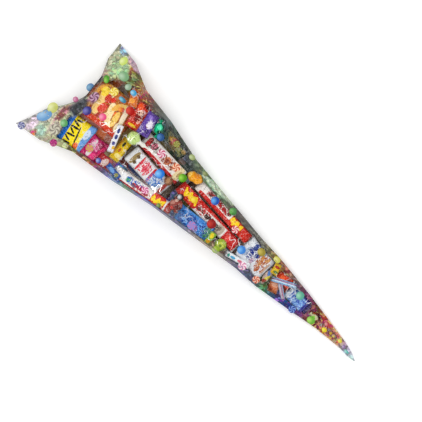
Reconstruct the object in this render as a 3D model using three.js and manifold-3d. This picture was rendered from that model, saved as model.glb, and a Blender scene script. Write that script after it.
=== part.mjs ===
// A candy cone: a long clear film bag, tapered to a point, filled with wrapped sweets and bars, and lying on its back.
// Millimetres, +Z up. The bag's tip points to -Y and its mouth, sealed straight across with two ears, to +Y.
// The sweets are laid in from the bottom sheet upwards, each one on what is under it, and the top sheet is drawn over them.

import * as THREE from "three";
import { mergeVertices } from "three/addons/utils/BufferGeometryUtils.js";
import Module from "manifold-3d";

const wasm = await Module();
wasm.setup();

// Driving dimensions of the bag
const BAG_LENGTH = 798; // tip to the middle of the mouth edge
const MOUTH_WIDTH = 262; // the flat bag across its ears
const TIP_WIDTH = 9; // the rounded end of the tip
const MOUTH_SLANT = 37; // the left ear reaches this much further than the right one
const MOUTH_DIP = 20; // how far the mouth edge draws in between the ears
const FILM = 0.2; // wall of the film
const SEAM = 3; // width of the welds along both sides and across the mouth
const EAR_POCKET = 3; // room between the two sheets in the empty ears
const VENT_DIAMETER = 5; // hole that lets the air out of the ear pocket

// How the filled bag lies: at a share of its length, how far its middle sways to +X,
// and what share of the flat width its rounding takes
const LIE = [
  { at: 0, sway: 0, rounding: 0.1 },
  { at: 0.05, sway: 6, rounding: 0.25 },
  { at: 0.13, sway: 8, rounding: 0.23 },
  { at: 0.2, sway: 7, rounding: 0.16 },
  { at: 0.31, sway: 5, rounding: 0.155 },
  { at: 0.38, sway: 5, rounding: 0.245 },
  { at: 0.64, sway: 1, rounding: 0.245 },
  { at: 0.75, sway: 1, rounding: 0.16 },
  { at: 0.86, sway: -1, rounding: 0.155 },
  { at: 0.93, sway: -4, rounding: 0 },
  { at: 1, sway: -6, rounding: 0 },
];
const OPENING = 0.86; // share of the length where the bottom sheet starts to lift to the mouth
const FLAT_SHARE = 0.62; // share of the width that lies flat on the ground
const SIDE_SEAM_RISE = 0.42; // height of the side welds over the half width
const MOUTH_LIFT = 30; // height of the middle of the mouth edge
const EAR_DROOP = 22; // how much lower the tips of the ears hang
const MOUTH_WAVE = 2.5; // ripples of the mouth edge
const CLEARANCE = 0.3; // between things that touch
const SIDE_ROOM = 1.5; // kept free beside the welds
const MAX_TILT = 0.32; // steepest slope at which a sweet still lies

// Wrapping details shared by the sweets
const CRIMP = 7; // welded end of a flow pack
const CRIMP_THICKNESS = 0.8;
const TWIST_NECK = 2.2; // radius where a twisted wrapper is tightest
const STICK_RADIUS = 2;
const STRETCH_ALONG = BAG_LENGTH / 798; // the sweets' places are written for a bag 798 long and 262 wide
const STRETCH_ACROSS = MOUTH_WIDTH / 262;

const ROWS = 40; // rows of film along the bag
const COLUMNS = 16; // columns across each sheet

const smooth = (low, high, value) => THREE.MathUtils.smoothstep(value, low, high);
const clamp = THREE.MathUtils.clamp;

// The bag's outline

function lieOf(y) {
  const share = clamp(y / BAG_LENGTH, 0, 1);
  const next = Math.max(LIE.findIndex((entry) => entry.at >= share), 1);
  const [low, high] = [LIE[next - 1], LIE[next]];
  const t = (share - low.at) / (high.at - low.at);
  return {
    sway: THREE.MathUtils.lerp(low.sway, high.sway, t),
    rounding: THREE.MathUtils.lerp(low.rounding, high.rounding, t),
  };
}

function halfWidth(y) {
  const flat = (TIP_WIDTH + (MOUTH_WIDTH - TIP_WIDTH) * (y / BAG_LENGTH)) / 2;
  const tipRound = Math.sqrt(clamp(y / (2 * TIP_WIDTH), 0.02, 1));
  return flat * (1 - lieOf(y).rounding) * tipRound;
}

const centreLine = (y) => lieOf(y).sway;

// The outermost columns are the welds. Next to each is the free strip that turns up to the sweets,
// and the other columns crowd towards it, where the film bends most.
function across(column, half) {
  if (column === 0 || column === COLUMNS) return Math.sign(column - 1);
  const weld = 1 - Math.min(SEAM / half, 0.3);
  if (column === 1 || column === COLUMNS - 1) return weld * Math.sign(column - 2);
  const inner = weld - Math.min(SIDE_ROOM / half, 0.15);
  return inner * Math.sin((Math.PI / 2) * ((2 * (column - 2)) / (COLUMNS - 4) - 1));
}

// The last row but one is the inner edge of the mouth weld.
const along = (row) => (row === ROWS ? BAG_LENGTH : (row / (ROWS - 1)) ** 0.92 * (BAG_LENGTH - SEAM));

// Where a row and column of the film lie, seen from above. The last rows lean over to the slanted mouth.
function filmPlace(row, column) {
  const flatY = along(row);
  const side = across(column, halfWidth(flatY));
  const lean = smooth(0.72 * BAG_LENGTH, BAG_LENGTH, flatY);
  const edge = (-side * MOUTH_SLANT) / 2 - (1 - side * side) * MOUTH_DIP + MOUTH_DIP * 0.25;
  return { x: centreLine(flatY) + side * halfWidth(flatY), y: flatY + lean * edge, flatY, side };
}

// Underside of the bottom sheet: flat on the ground, then turning up to the side welds, and lifted at the mouth.
function bottomHeight({ side, flatY }) {
  const opening = smooth(OPENING * BAG_LENGTH, BAG_LENGTH, flatY);
  const lift = (MOUTH_LIFT - EAR_DROOP * side * side + MOUTH_WAVE * Math.sin(side * 7)) * opening;
  const rise = SIDE_SEAM_RISE * halfWidth(flatY) * (1 - opening);
  const flat = FLAT_SHARE * (1 - opening);
  const turn = clamp((Math.abs(side) - flat) / (1 - flat), 0, 1);
  return lift + rise * turn ** 2;
}

// Triangles seen from above: each keeps its plane z = k + p x + q y and its bounds.

function planeOf(a, b, c) {
  const normal = new THREE.Vector3().crossVectors(
    new THREE.Vector3().subVectors(b, a),
    new THREE.Vector3().subVectors(c, a),
  );
  if (Math.abs(normal.z) < 1e-9 * (Math.abs(normal.x) + Math.abs(normal.y)) + 1e-12) return null;
  const p = -normal.x / normal.z;
  const q = -normal.y / normal.z;
  return {
    corners: [a, b, c],
    up: normal.z > 0,
    p,
    q,
    k: a.z - p * a.x - q * a.y,
    low: [Math.min(a.x, b.x, c.x), Math.min(a.y, b.y, c.y)],
    high: [Math.max(a.x, b.x, c.x), Math.max(a.y, b.y, c.y)],
  };
}

function facesOf(geometry, matrix = new THREE.Matrix4()) {
  const position = geometry.getAttribute("position");
  const index = geometry.index.array;
  const corners = [];
  for (let i = 0; i < position.count; i++) {
    corners.push(new THREE.Vector3().fromBufferAttribute(position, i).applyMatrix4(matrix));
  }
  const faces = [];
  for (let i = 0; i < index.length; i += 3) {
    const face = planeOf(corners[index[i]], corners[index[i + 1]], corners[index[i + 2]]);
    if (face) faces.push(face);
  }
  return faces;
}

function boundsOf(faces) {
  const low = [Infinity, Infinity];
  const high = [-Infinity, -Infinity];
  for (const face of faces) {
    for (const axis of [0, 1]) {
      low[axis] = Math.min(low[axis], face.low[axis]);
      high[axis] = Math.max(high[axis], face.high[axis]);
    }
  }
  return { low, high };
}

const apart = (a, b) =>
  a.low[0] >= b.high[0] || b.low[0] >= a.high[0] || a.low[1] >= b.high[1] || b.low[1] >= a.high[1];

// The part of one triangle that lies over another, as a polygon in x and y.
function sharedArea(face, cutter) {
  let polygon = face.corners.map((corner) => [corner.x, corner.y]);
  const cut = cutter.corners;
  const turn = cutter.up ? 1 : -1;
  for (let edge = 0; edge < 3 && polygon.length; edge++) {
    const from = cut[edge];
    const to = cut[(edge + 1) % 3];
    const inside = ([x, y]) => turn * ((to.x - from.x) * (y - from.y) - (to.y - from.y) * (x - from.x));
    const kept = [];
    polygon.forEach((point, i) => {
      const next = polygon[(i + 1) % polygon.length];
      const here = inside(point);
      const there = inside(next);
      if (here >= 0) kept.push(point);
      if (here > 0 !== there > 0 && here !== there) {
        const t = here / (here - there);
        kept.push([point[0] + t * (next[0] - point[0]), point[1] + t * (next[1] - point[1])]);
      }
    });
    polygon = kept;
  }
  return polygon;
}

const heightAt = (face, [x, y]) => face.k + face.p * x + face.q * y;

// The smallest height of one face over another, and the place where it is.
function roomBetween(over, under) {
  let least = { room: Infinity, point: null };
  for (const point of sharedArea(over, under)) {
    const room = heightAt(over, point) - heightAt(under, point);
    if (room < least.room) least = { room, point };
  }
  return least;
}

function leastRoom(overFaces, underFaces) {
  let least = Infinity;
  const bounds = boundsOf(overFaces);
  const near = underFaces.filter((face) => !apart(face, bounds));
  for (const over of overFaces) {
    for (const under of near) {
      if (!apart(over, under)) least = Math.min(least, roomBetween(over, under).room);
    }
  }
  return least;
}

// Shapes of the sweets. Each is a loft of rounded sections along its own Y axis.

// stations: [y, half width, half height, sideways shift]; power 2 gives round sections and 4 boxed ones.
function loft(stations, sides, power = 2) {
  const points = [];
  const index = [];
  const swell = (value) => Math.sign(value) * Math.abs(value) ** (2 / power);
  for (const [y, wide, high, shift = 0] of stations) {
    for (let side = 0; side < sides; side++) {
      const angle = (2 * Math.PI * (side + 0.5)) / sides;
      points.push(shift + wide * swell(Math.cos(angle)), y, high * swell(Math.sin(angle)));
    }
  }
  const last = stations.length - 1;
  for (let ring = 0; ring < last; ring++) {
    for (let side = 0; side < sides; side++) {
      const next = (side + 1) % sides;
      const [a, b] = [ring * sides + side, ring * sides + next];
      index.push(a, a + sides, b, b, a + sides, b + sides);
    }
  }
  for (const ring of [0, last]) {
    const centre = points.length / 3;
    points.push(stations[ring][3] ?? 0, stations[ring][0], 0);
    for (let side = 0; side < sides; side++) {
      const next = (side + 1) % sides;
      const pair = [ring * sides + side, ring * sides + next];
      if (ring) pair.reverse();
      index.push(centre, ...pair);
    }
  }
  const geometry = new THREE.BufferGeometry();
  geometry.setAttribute("position", new THREE.Float32BufferAttribute(points, 3));
  geometry.setIndex(index);
  return geometry;
}

// A film packet with a crimped weld at each end: fullness 0.25 is a stiff bar and 0.7 a soft pillow.
function flowPack({ length, width, height, fullness = 0.3, pinch = 0.05, crimp = CRIMP, power = 3, sides = 10 }) {
  const body = length / 2 - crimp;
  const stations = [[-length / 2, width / 2, CRIMP_THICKNESS / 2]];
  for (const share of [0, 0.04, 0.14, 0.36, 0.64, 0.86, 0.96, 1]) {
    const swell = Math.sin(Math.PI * share) ** fullness;
    const high = Math.max((height / 2) * swell, CRIMP_THICKNESS / 2);
    stations.push([(2 * share - 1) * body, (width / 2) * (1 - pinch * swell), high]);
  }
  stations.push([length / 2, width / 2, CRIMP_THICKNESS / 2]);
  return loft(stations, sides, power);
}

// A sweet in a wrapper that is twisted at both ends into fans.
function twistWrap({ length, width, height, fan, power = 2.4, sides = 8 }) {
  const half = length / 2;
  const body = half - fan;
  const fanWidth = width * 0.42;
  const stations = [
    [-half, fanWidth, 1.4],
    [-body - fan * 0.25, TWIST_NECK * 1.3, 1.7],
    [-body, TWIST_NECK, TWIST_NECK * 0.8],
    [-body * 0.82, width * 0.4, height * 0.4],
    [-body * 0.35, width / 2, height / 2],
    [body * 0.35, width / 2, height / 2],
    [body * 0.82, width * 0.4, height * 0.4],
    [body, TWIST_NECK, TWIST_NECK * 0.8],
    [body + fan * 0.25, TWIST_NECK * 1.3, 1.7],
    [half, fanWidth, 1.4],
  ];
  return loft(stations, sides, power);
}

// A lollipop: a ball in a wrapper gathered round its stick. The ball's centre is the origin and the stick points to -Y.
function lollipop({ ball, stick, sides = 10 }) {
  const stations = [];
  for (let step = 1; step <= 7; step++) {
    const angle = (Math.PI * step) / 9;
    stations.push([ball * Math.cos(angle), ball * Math.sin(angle), ball * Math.sin(angle)]);
  }
  const gather = STICK_RADIUS * 1.4;
  stations.push([-ball * 1.25, gather, gather]);
  stations.push([-ball * 1.9, gather * 1.9, gather * 1.3]);
  stations.push([-ball * 1.92, STICK_RADIUS, STICK_RADIUS]);
  stations.push([-ball - stick, STICK_RADIUS, STICK_RADIUS]);
  return loft(stations.reverse(), sides);
}

// A soft jelly: a rounded body with lobes.
function jelly({ length, width, height, lobes = 0.12, sides = 10 }) {
  const stations = [];
  const steps = 8;
  for (let step = 0; step <= steps; step++) {
    const share = 0.04 + (0.92 * step) / steps;
    const round = Math.sin(Math.PI * share) ** 0.55;
    const lobe = 1 - lobes * Math.cos(4 * Math.PI * share);
    stations.push([(share - 0.5) * length, (width / 2) * round * lobe, (height / 2) * round]);
  }
  return loft(stations, sides, 2.4);
}

// A flat sour belt, curling a little sideways.
function belt({ length, width, height, curl }) {
  const stations = [];
  const steps = 6;
  for (let step = 0; step <= steps; step++) {
    const share = step / steps;
    stations.push([(share - 0.5) * length, width / 2, height / 2, curl * Math.sin(Math.PI * share)]);
  }
  return loft(stations, 8, 4);
}

// Laying the sweets in

const grid = (value) =>
  Array.from({ length: ROWS + 1 }, (_, row) =>
    Array.from({ length: COLUMNS + 1 }, (_, column) => value(row, column)),
  );

const places = grid(filmPlace);
const bottomSheet = grid((row, column) => bottomHeight(places[row][column]));
const pointsOf = (heights) =>
  grid((row, column) => new THREE.Vector3(places[row][column].x, places[row][column].y, heights[row][column]));

// The welds are the outermost rows and columns. Inside them the two sheets are free of each other.
const inWeld = (row, column) => row === 0 || row >= ROWS - 1 || column <= 1 || column >= COLUMNS - 1;

// The side of a sheet that faces the sweets: the film's thickness below or above its outside.
function lining(heights, way) {
  const points = pointsOf(heights);
  return grid((row, column) => {
    const point = points[row][column].clone();
    if (inWeld(row, column)) {
      const inward = column <= 1 ? FILM : column >= COLUMNS - 1 ? -FILM : 0;
      return point.add(new THREE.Vector3(inward, row >= ROWS - 1 ? -FILM : 0, way * FILM));
    }
    const lengthwise = points[row + 1][column].clone().sub(points[row - 1][column]);
    const sideways = points[row][column + 1].clone().sub(points[row][column - 1]);
    return point.addScaledVector(sideways.cross(lengthwise).normalize(), way * FILM);
  });
}

function sheetFaces(points) {
  const faces = [];
  const add = (...cells) => {
    const face = planeOf(...cells.map(([row, column]) => points[row][column]));
    if (face) faces.push({ ...face, cells });
  };
  for (let row = 0; row < ROWS; row++) {
    for (let column = 0; column < COLUMNS; column++) {
      add([row, column], [row, column + 1], [row + 1, column + 1]);
      add([row, column], [row + 1, column + 1], [row + 1, column]);
    }
  }
  return faces;
}

const bottomFaces = sheetFaces(lining(bottomSheet, 1));

const pack = new THREE.Group();
const laidTopsides = [...bottomFaces];

const supportHeight = (x, y) => {
  let height = 0;
  for (const face of laidTopsides) {
    if (x < face.low[0] || x > face.high[0] || y < face.low[1] || y > face.high[1]) continue;
    const [a, b, c] = face.corners;
    const edge = (from, to) => (to.x - from.x) * (y - from.y) - (to.y - from.y) * (x - from.x);
    if (edge(a, b) >= 0 && edge(b, c) >= 0 && edge(c, a) >= 0) height = Math.max(height, heightAt(face, [x, y]));
  }
  return height;
};

// Slope of what lies under a footprint, as a least-squares plane over a few points.
function slopeUnder(x, y, turn, reach) {
  const steps = [-0.8, -0.4, 0, 0.4, 0.8];
  let [xx, xy, yy, xz, yz] = [1e-6, 0, 1e-6, 0, 0];
  const samples = [];
  for (const i of steps) {
    for (const j of steps) {
      const dx = i * reach.x * Math.cos(turn) - j * reach.y * Math.sin(turn);
      const dy = i * reach.x * Math.sin(turn) + j * reach.y * Math.cos(turn);
      samples.push([dx, dy, supportHeight(x + dx, y + dy)]);
    }
  }
  const mean = samples.reduce((sum, sample) => sum + sample[2], 0) / samples.length;
  for (const [dx, dy, z] of samples) {
    xx += dx * dx;
    xy += dx * dy;
    yy += dy * dy;
    xz += dx * (z - mean);
    yz += dy * (z - mean);
  }
  const det = xx * yy - xy * xy;
  const slope = new THREE.Vector2((xz * yy - yz * xy) / det, (yz * xx - xz * xy) / det);
  return slope.clampLength(0, MAX_TILT);
}

// The place nearest to the wanted one where all corners of a footprint keep clear of the side welds.
// A sweet that is too wide for the bag there slides up towards the mouth until it fits.
function placeInside(x, wantedY, turn, reach) {
  for (let y = wantedY; y < BAG_LENGTH; y += 1) {
    let [low, high] = [-Infinity, Infinity];
    for (const [i, j] of [[-1, -1], [-1, 1], [1, -1], [1, 1]]) {
      const dx = i * reach.x * Math.cos(turn) - j * reach.y * Math.sin(turn);
      const cornerY = y + i * reach.x * Math.sin(turn) + j * reach.y * Math.cos(turn);
      const room = halfWidth(cornerY) - SEAM - 2 * SIDE_ROOM;
      low = Math.max(low, centreLine(cornerY) - room - dx);
      high = Math.min(high, centreLine(cornerY) + room - dx);
    }
    if (low <= high) return [clamp(x, low, high), y];
  }
  throw new Error("a sweet is too wide for the bag");
}

// Lays one sweet at its place (x, y), turned by `degrees`, on what is under it.
function lay(name, geometry, colour, laidX, laidY, degrees = 0) {
  const turn = THREE.MathUtils.degToRad(degrees);
  geometry.computeBoundingBox();
  const size = geometry.boundingBox.getSize(new THREE.Vector3());
  const reach = { x: size.x / 2, y: size.y / 2 };
  const [x, y] = placeInside(laidX * STRETCH_ACROSS, laidY * STRETCH_ALONG, turn, reach);
  const slope = slopeUnder(x, y, turn, reach);
  const upright = new THREE.Quaternion().setFromUnitVectors(
    new THREE.Vector3(0, 0, 1),
    new THREE.Vector3(-slope.x, -slope.y, 1).normalize(),
  );
  const mesh = new THREE.Mesh(geometry, new THREE.MeshStandardMaterial(colour));
  mesh.name = name;
  mesh.quaternion.setFromAxisAngle(new THREE.Vector3(0, 0, 1), turn).premultiply(upright);
  mesh.position.set(x, y, 0);
  mesh.updateMatrix();
  const undersides = facesOf(geometry, mesh.matrix).filter((face) => !face.up);
  mesh.position.z = CLEARANCE - leastRoom(undersides, laidTopsides);
  mesh.updateMatrix();
  laidTopsides.push(...facesOf(geometry, mesh.matrix).filter((face) => face.up));
  pack.add(mesh);
}

// Wrapper finishes
const printed = (color) => ({ color, roughness: 0.32, metalness: 0 });
const foil = (color) => ({ color, roughness: 0.25, metalness: 0.8 });
const gummy = (color) => ({ color, roughness: 0.4, metalness: 0 });

// Under layer, from the mouth down to the tip
lay("popcorn_bag", flowPack({ length: 112, width: 122, height: 25, fullness: 0.55, power: 2.4, sides: 12 }),
  printed(0xd9c27a), 0, 692, 0);
lay("hidden_wafer_bar", flowPack({ length: 130, width: 32, height: 28 }), printed(0xb9402e), -33, 562, -2);
lay("nougat_bar", flowPack({ length: 130, width: 33, height: 28 }), printed(0x8a5a34), 1, 562, 0);
lay("biscuit_roll", flowPack({ length: 130, width: 30, height: 28, power: 2 }), printed(0x2f6b3a), 34, 562, 2);
lay("peanut_bag", flowPack({ length: 118, width: 68, height: 24, fullness: 0.5 }), printed(0xa8472e), 2, 430, 1);
lay("chew_bar_pack", flowPack({ length: 84, width: 52, height: 20, fullness: 0.4 }), printed(0x3b6ab0), 4, 326, 0);
lay("toffee_left", twistWrap({ length: 53, width: 24, height: 15, fan: 12 }), printed(0x9c7a3a), -9, 256, 3);
lay("toffee_right", twistWrap({ length: 53, width: 24, height: 15, fan: 12 }), printed(0x7d3f6a), 18, 256, -3);
lay("liquorice_bar", flowPack({ length: 50, width: 30, height: 9 }), printed(0x4a3434), 6, 203, 0);
lay("fizz_sachet", flowPack({ length: 38, width: 24, height: 5, crimp: 4 }), printed(0x7a6ab0), 7, 157, 0);

// Middle layer
lay("marshmallow_bag", flowPack({ length: 92, width: 78, height: 17, fullness: 0.55 }),
  printed(0xe8b8c6), -42, 698, 2);
lay("cracker_bag", flowPack({ length: 92, width: 78, height: 17, fullness: 0.55 }), printed(0xc76a2c), 42, 696, -2);
lay("raisin_bar", flowPack({ length: 124, width: 34, height: 25 }), printed(0x5a7a3a), -18, 562, -1);
lay("caramel_bar", flowPack({ length: 124, width: 34, height: 25 }), printed(0x6a4a2c), 19, 562, 1);
lay("sour_strip_bag", flowPack({ length: 100, width: 38, height: 20, fullness: 0.45 }),
  printed(0x4a8a4a), -14, 436, 1);
lay("cola_chew", flowPack({ length: 100, width: 30, height: 19 }), printed(0x6b3a2a), 24, 436, -1);
lay("jelly_bean_bag", flowPack({ length: 72, width: 46, height: 14, fullness: 0.45 }), printed(0xb070b0), 4, 334, 0);

// Top layer, as it shows through the film
lay("strawberry_milk_sachet", flowPack({ length: 102, width: 40, height: 15, fullness: 0.4 }),
  printed(0xe9ecf0), -19, 563, -4);
lay("white_biscuit_bar", flowPack({ length: 108, width: 36, height: 17 }), printed(0xece4d8), 20, 560, -3);
lay("blue_wafer_bar", flowPack({ length: 140, width: 25, height: 15 }), printed(0xe4e0dc), -57, 543, 10);
lay("dark_liquorice_bag", flowPack({ length: 68, width: 26, height: 16, fullness: 0.45 }),
  printed(0x2c3326), 58, 566, -14);
lay("coconut_wafer_bar", flowPack({ length: 168, width: 29, height: 16 }), printed(0xd8382a), 1, 414, -2);
lay("caramel_wafer_bar", flowPack({ length: 150, width: 25, height: 16 }), printed(0xe8dccc), 29, 398, -3);
lay("blueberry_jelly_bag", flowPack({ length: 82, width: 36, height: 15, fullness: 0.6, power: 2.2 }),
  printed(0x4a90d8), -33, 425, 8);
lay("orange_jelly_bear", jelly({ length: 38, width: 24, height: 16 }), gummy(0xf2a01c), 38, 487, 12);
lay("cocoa_truffle", twistWrap({ length: 34, width: 27, height: 17, fan: 5 }), printed(0x8a4436), -27, 476, -50);
lay("snack_stick_bag", flowPack({ length: 104, width: 88, height: 25, fullness: 0.5, power: 2.6, sides: 12 }),
  printed(0xe0a24a), 16, 706, 6);
lay("yellow_puff_bag", flowPack({ length: 62, width: 66, height: 17, fullness: 0.5 }), printed(0xf2d516), -70, 718, 10);
lay("pink_gum_bag", flowPack({ length: 40, width: 50, height: 14, fullness: 0.5 }), printed(0xc0186a), -62, 670, 4);
lay("red_gum_bag", flowPack({ length: 58, width: 34, height: 11, fullness: 0.5 }), printed(0xc8281c), 46, 652, -80);
lay("red_jelly_sachet", flowPack({ length: 40, width: 28, height: 12, fullness: 0.5 }), printed(0xc83234), -66, 634, 10);
lay("blue_chew_stick", flowPack({ length: 36, width: 13, height: 10, crimp: 4 }), printed(0x2a5fae), -79, 612, -6);
lay("yellow_toffee_bar", flowPack({ length: 52, width: 24, height: 11, crimp: 5 }), printed(0xf0cb18), -26, 632, -84);
lay("white_stick_pack", flowPack({ length: 60, width: 13, height: 9, crimp: 4 }), printed(0xe6e4ec), -18, 654, -68);
lay("purple_cream_bag", flowPack({ length: 50, width: 28, height: 12, fullness: 0.5 }), printed(0x6a4aa8), 48, 627, -80);
lay("orange_snap_pack", flowPack({ length: 40, width: 20, height: 8, crimp: 5 }), printed(0xe87a2a), 73, 684, -62);
lay("green_foil_sweet", twistWrap({ length: 40, width: 22, height: 14, fan: 8 }), foil(0x0fa07a), 64, 606, -62);
lay("green_apple_lolly", lollipop({ ball: 14, stick: 52 }), gummy(0xa8cf5a), 8, 630, 8);
lay("brown_toffee_cube", jelly({ length: 20, width: 20, height: 9, lobes: 0 }), printed(0x7a4a2a), -4, 520, 20);
lay("mini_fruit_chew", flowPack({ length: 26, width: 14, height: 8, crimp: 3 }), printed(0xd8c82c), -28, 381, -82);
lay("lime_jelly_dome", jelly({ length: 27, width: 27, height: 15, lobes: 0 }), gummy(0xa9bc34), -32, 357, 6);
lay("white_mint_sachet", flowPack({ length: 72, width: 54, height: 10, fullness: 0.4 }), printed(0xe8ecf2), 8, 288, -4);
lay("sherbet_stick", flowPack({ length: 56, width: 13, height: 7, crimp: 5 }), printed(0xdfe6ee), -21, 312, 16);
lay("red_swirl_mint", twistWrap({ length: 38, width: 15, height: 9, fan: 6 }), printed(0xc25a4a), -2, 246, -84);
lay("lemon_chew", flowPack({ length: 24, width: 16, height: 8, crimp: 3 }), printed(0xe0c41e), 28, 243, -78);
lay("orange_drop_left", flowPack({ length: 28, width: 24, height: 9, crimp: 4, fullness: 0.5 }),
  printed(0xec7438), -10, 222, -72);
lay("orange_drop_right", flowPack({ length: 34, width: 24, height: 9, crimp: 4, fullness: 0.5 }),
  printed(0xee4a1e), 24, 216, 6);
lay("pale_blue_chew_pack", flowPack({ length: 52, width: 34, height: 8, crimp: 4 }), printed(0x86b2e0), 4, 168, -2);
lay("blue_sour_belt", belt({ length: 54, width: 8, height: 2.2, curl: 3 }), gummy(0x7aa6c8), 14, 212, 28);
lay("grey_sour_belt", belt({ length: 34, width: 8, height: 2.2, curl: -2 }), gummy(0x9aa6b8), -12, 203, -38);
lay("cherry_sweet", twistWrap({ length: 30, width: 14, height: 9, fan: 6 }), printed(0x8a2a1c), 16, 121, 6);
lay("pale_lime_sweet", twistWrap({ length: 28, width: 14, height: 9, fan: 6 }), printed(0xd8dcb0), 0, 119, -4);
lay("candy_stripe_sweet", twistWrap({ length: 26, width: 12, height: 8, fan: 6 }), printed(0xc8403a), 11, 90, 10);
lay("caramel_drop", jelly({ length: 16, width: 11, height: 6, lobes: 0 }), gummy(0xa8623a), 5, 68, 0);
lay("rose_drop", jelly({ length: 14, width: 9, height: 5, lobes: 0 }), gummy(0xc88a78), 6, 51, 0);

// The film

const weldTop = grid((row, column) => bottomSheet[row][column] + 2 * FILM);
const pocket = (row) => EAR_POCKET * smooth(0, 0.06, row / ROWS);

// Draws the top sheet tight over the sweets: every free point settles to the mean of its neighbours,
// each row is stretched straight across its hollows, and the sheet is pushed up where a sweet would touch it.
function drawTopSheet() {
  const floor = grid((row, column) => weldTop[row][column] + (inWeld(row, column) ? 0 : pocket(row)));
  const push = floor.map((row) => [...row]);
  let sheet = push.map((row) => [...row]);
  for (let round = 0; round < 40; round++) {
    for (let pass = 0; pass < 40; pass++) sheet = relaxed(sheet, floor, push);
    sheet.forEach((heights, row) => stretch(heights, row));
    if (!pushUp(sheet, push)) break;
  }
  return sheet;
}

function relaxed(sheet, floor, push) {
  const rowStep = BAG_LENGTH / ROWS;
  return grid((row, column) => {
    if (inWeld(row, column)) return floor[row][column];
    const here = places[row][column].x;
    const left = here - places[row][column - 1].x;
    const right = places[row][column + 1].x - here;
    const lengthwise = (left + right) / 2 / rowStep ** 2;
    const pull =
      sheet[row][column - 1] / left +
      sheet[row][column + 1] / right +
      (sheet[row - 1][column] + sheet[row + 1][column]) * lengthwise;
    return Math.max(pull / (1 / left + 1 / right + 2 * lengthwise), push[row][column]);
  });
}

// The upper hull of one row, from weld to weld.
function stretch(heights, row) {
  const x = places[row].map((place) => place.x);
  const hull = [1];
  for (let column = 2; column < COLUMNS; column++) {
    while (hull.length > 1) {
      const [a, b] = hull.slice(-2);
      const bend = (x[b] - x[a]) * (heights[column] - heights[a]) - (heights[b] - heights[a]) * (x[column] - x[a]);
      if (bend < 0) break;
      hull.pop();
    }
    hull.push(column);
  }
  for (let i = 1; i < hull.length; i++) {
    const [a, b] = [hull[i - 1], hull[i]];
    for (let column = a + 1; column < b; column++) {
      if (inWeld(row, column)) continue;
      heights[column] = heights[a] + ((heights[b] - heights[a]) * (x[column] - x[a])) / (x[b] - x[a]);
    }
  }
}

// Raises the points of each film face that comes too near a sweet. Returns whether any face did.
function pushUp(sheet, push) {
  const sweets = laidTopsides.slice(bottomFaces.length);
  const near = 1.5 * CLEARANCE;
  let touched = false;
  for (const face of sheetFaces(lining(sheet, -1))) {
    let worst = { room: near - 0.05, point: null };
    for (const sweet of sweets) {
      if (apart(face, sweet)) continue;
      const found = roomBetween(face, sweet);
      if (found.room < worst.room) worst = found;
    }
    if (!worst.point) continue;
    const free = face.cells.filter(([row, column]) => !inWeld(row, column));
    if (!free.length) throw new Error("a sweet lies under a weld of the bag");
    touched = true;
    const weights = free.map((cell) => shareOf(face, cell, worst.point));
    const total = weights.reduce((sum, weight) => sum + weight * weight, 0);
    free.forEach(([row, column], i) => {
      const rise = ((near - worst.room) * weights[i]) / Math.max(total, 0.02);
      push[row][column] = Math.max(push[row][column], sheet[row][column] + rise * 1.02);
    });
  }
  return touched;
}

// How much of a point's height comes from one corner of its face.
function shareOf(face, cell, [x, y]) {
  const at = face.cells.indexOf(cell);
  const [a, b, c] = [0, 1, 2].map((i) => face.corners[(at + i) % 3]);
  const area = (p, q, r) => (q.x - p.x) * (r.y - p.y) - (q.y - p.y) * (r.x - p.x);
  return clamp(area({ x, y }, b, c) / area(a, b, c), 0, 1);
}

// A closed solid between two sheets of points, leaving out `inset` rows and columns at every edge.
function between(top, bottom, inset) {
  const columns = COLUMNS - 2 * inset;
  const rows = ROWS - 2 * inset;
  const points = [];
  const index = [];
  const at = (level, row, column) => (level * (rows + 1) + row) * (columns + 1) + column;
  for (const sheet of [bottom, top]) {
    for (let row = inset; row <= ROWS - inset; row++) {
      for (let column = inset; column <= COLUMNS - inset; column++) points.push(...sheet[row][column]);
    }
  }
  const quad = (a, b, c, d) => index.push(a, b, c, a, c, d);
  for (let row = 0; row < rows; row++) {
    for (let column = 0; column < columns; column++) {
      const cell = (level) => [
        at(level, row, column),
        at(level, row, column + 1),
        at(level, row + 1, column + 1),
        at(level, row + 1, column),
      ];
      const [a, b, c, d] = cell(0);
      index.push(a, c, b, a, d, c);
      quad(...cell(1));
    }
  }
  for (let row = 0; row < rows; row++) {
    quad(at(0, row + 1, 0), at(0, row, 0), at(1, row, 0), at(1, row + 1, 0));
    quad(at(0, row, columns), at(0, row + 1, columns), at(1, row + 1, columns), at(1, row, columns));
  }
  for (let column = 0; column < columns; column++) {
    quad(at(0, 0, column), at(0, 0, column + 1), at(1, 0, column + 1), at(1, 0, column));
    quad(at(0, rows, column + 1), at(0, rows, column), at(1, rows, column), at(1, rows, column + 1));
  }
  const geometry = new THREE.BufferGeometry();
  geometry.setAttribute("position", new THREE.Float32BufferAttribute(points, 3));
  geometry.setIndex(index);
  return geometry;
}

function solidOf(geometry) {
  const bare = geometry.clone();
  bare.deleteAttribute("normal");
  bare.deleteAttribute("uv");
  const merged = mergeVertices(bare, 1e-4);
  return new wasm.Manifold(
    new wasm.Mesh({
      numProp: 3,
      vertProperties: merged.getAttribute("position").array,
      triVerts: new Uint32Array(merged.index.array),
    }),
  );
}

function geometryOf(solid) {
  const mesh = solid.getMesh();
  const geometry = new THREE.BufferGeometry();
  geometry.setAttribute("position", new THREE.BufferAttribute(mesh.vertProperties, 3));
  geometry.setIndex(new THREE.BufferAttribute(mesh.triVerts, 1));
  return geometry;
}

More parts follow.
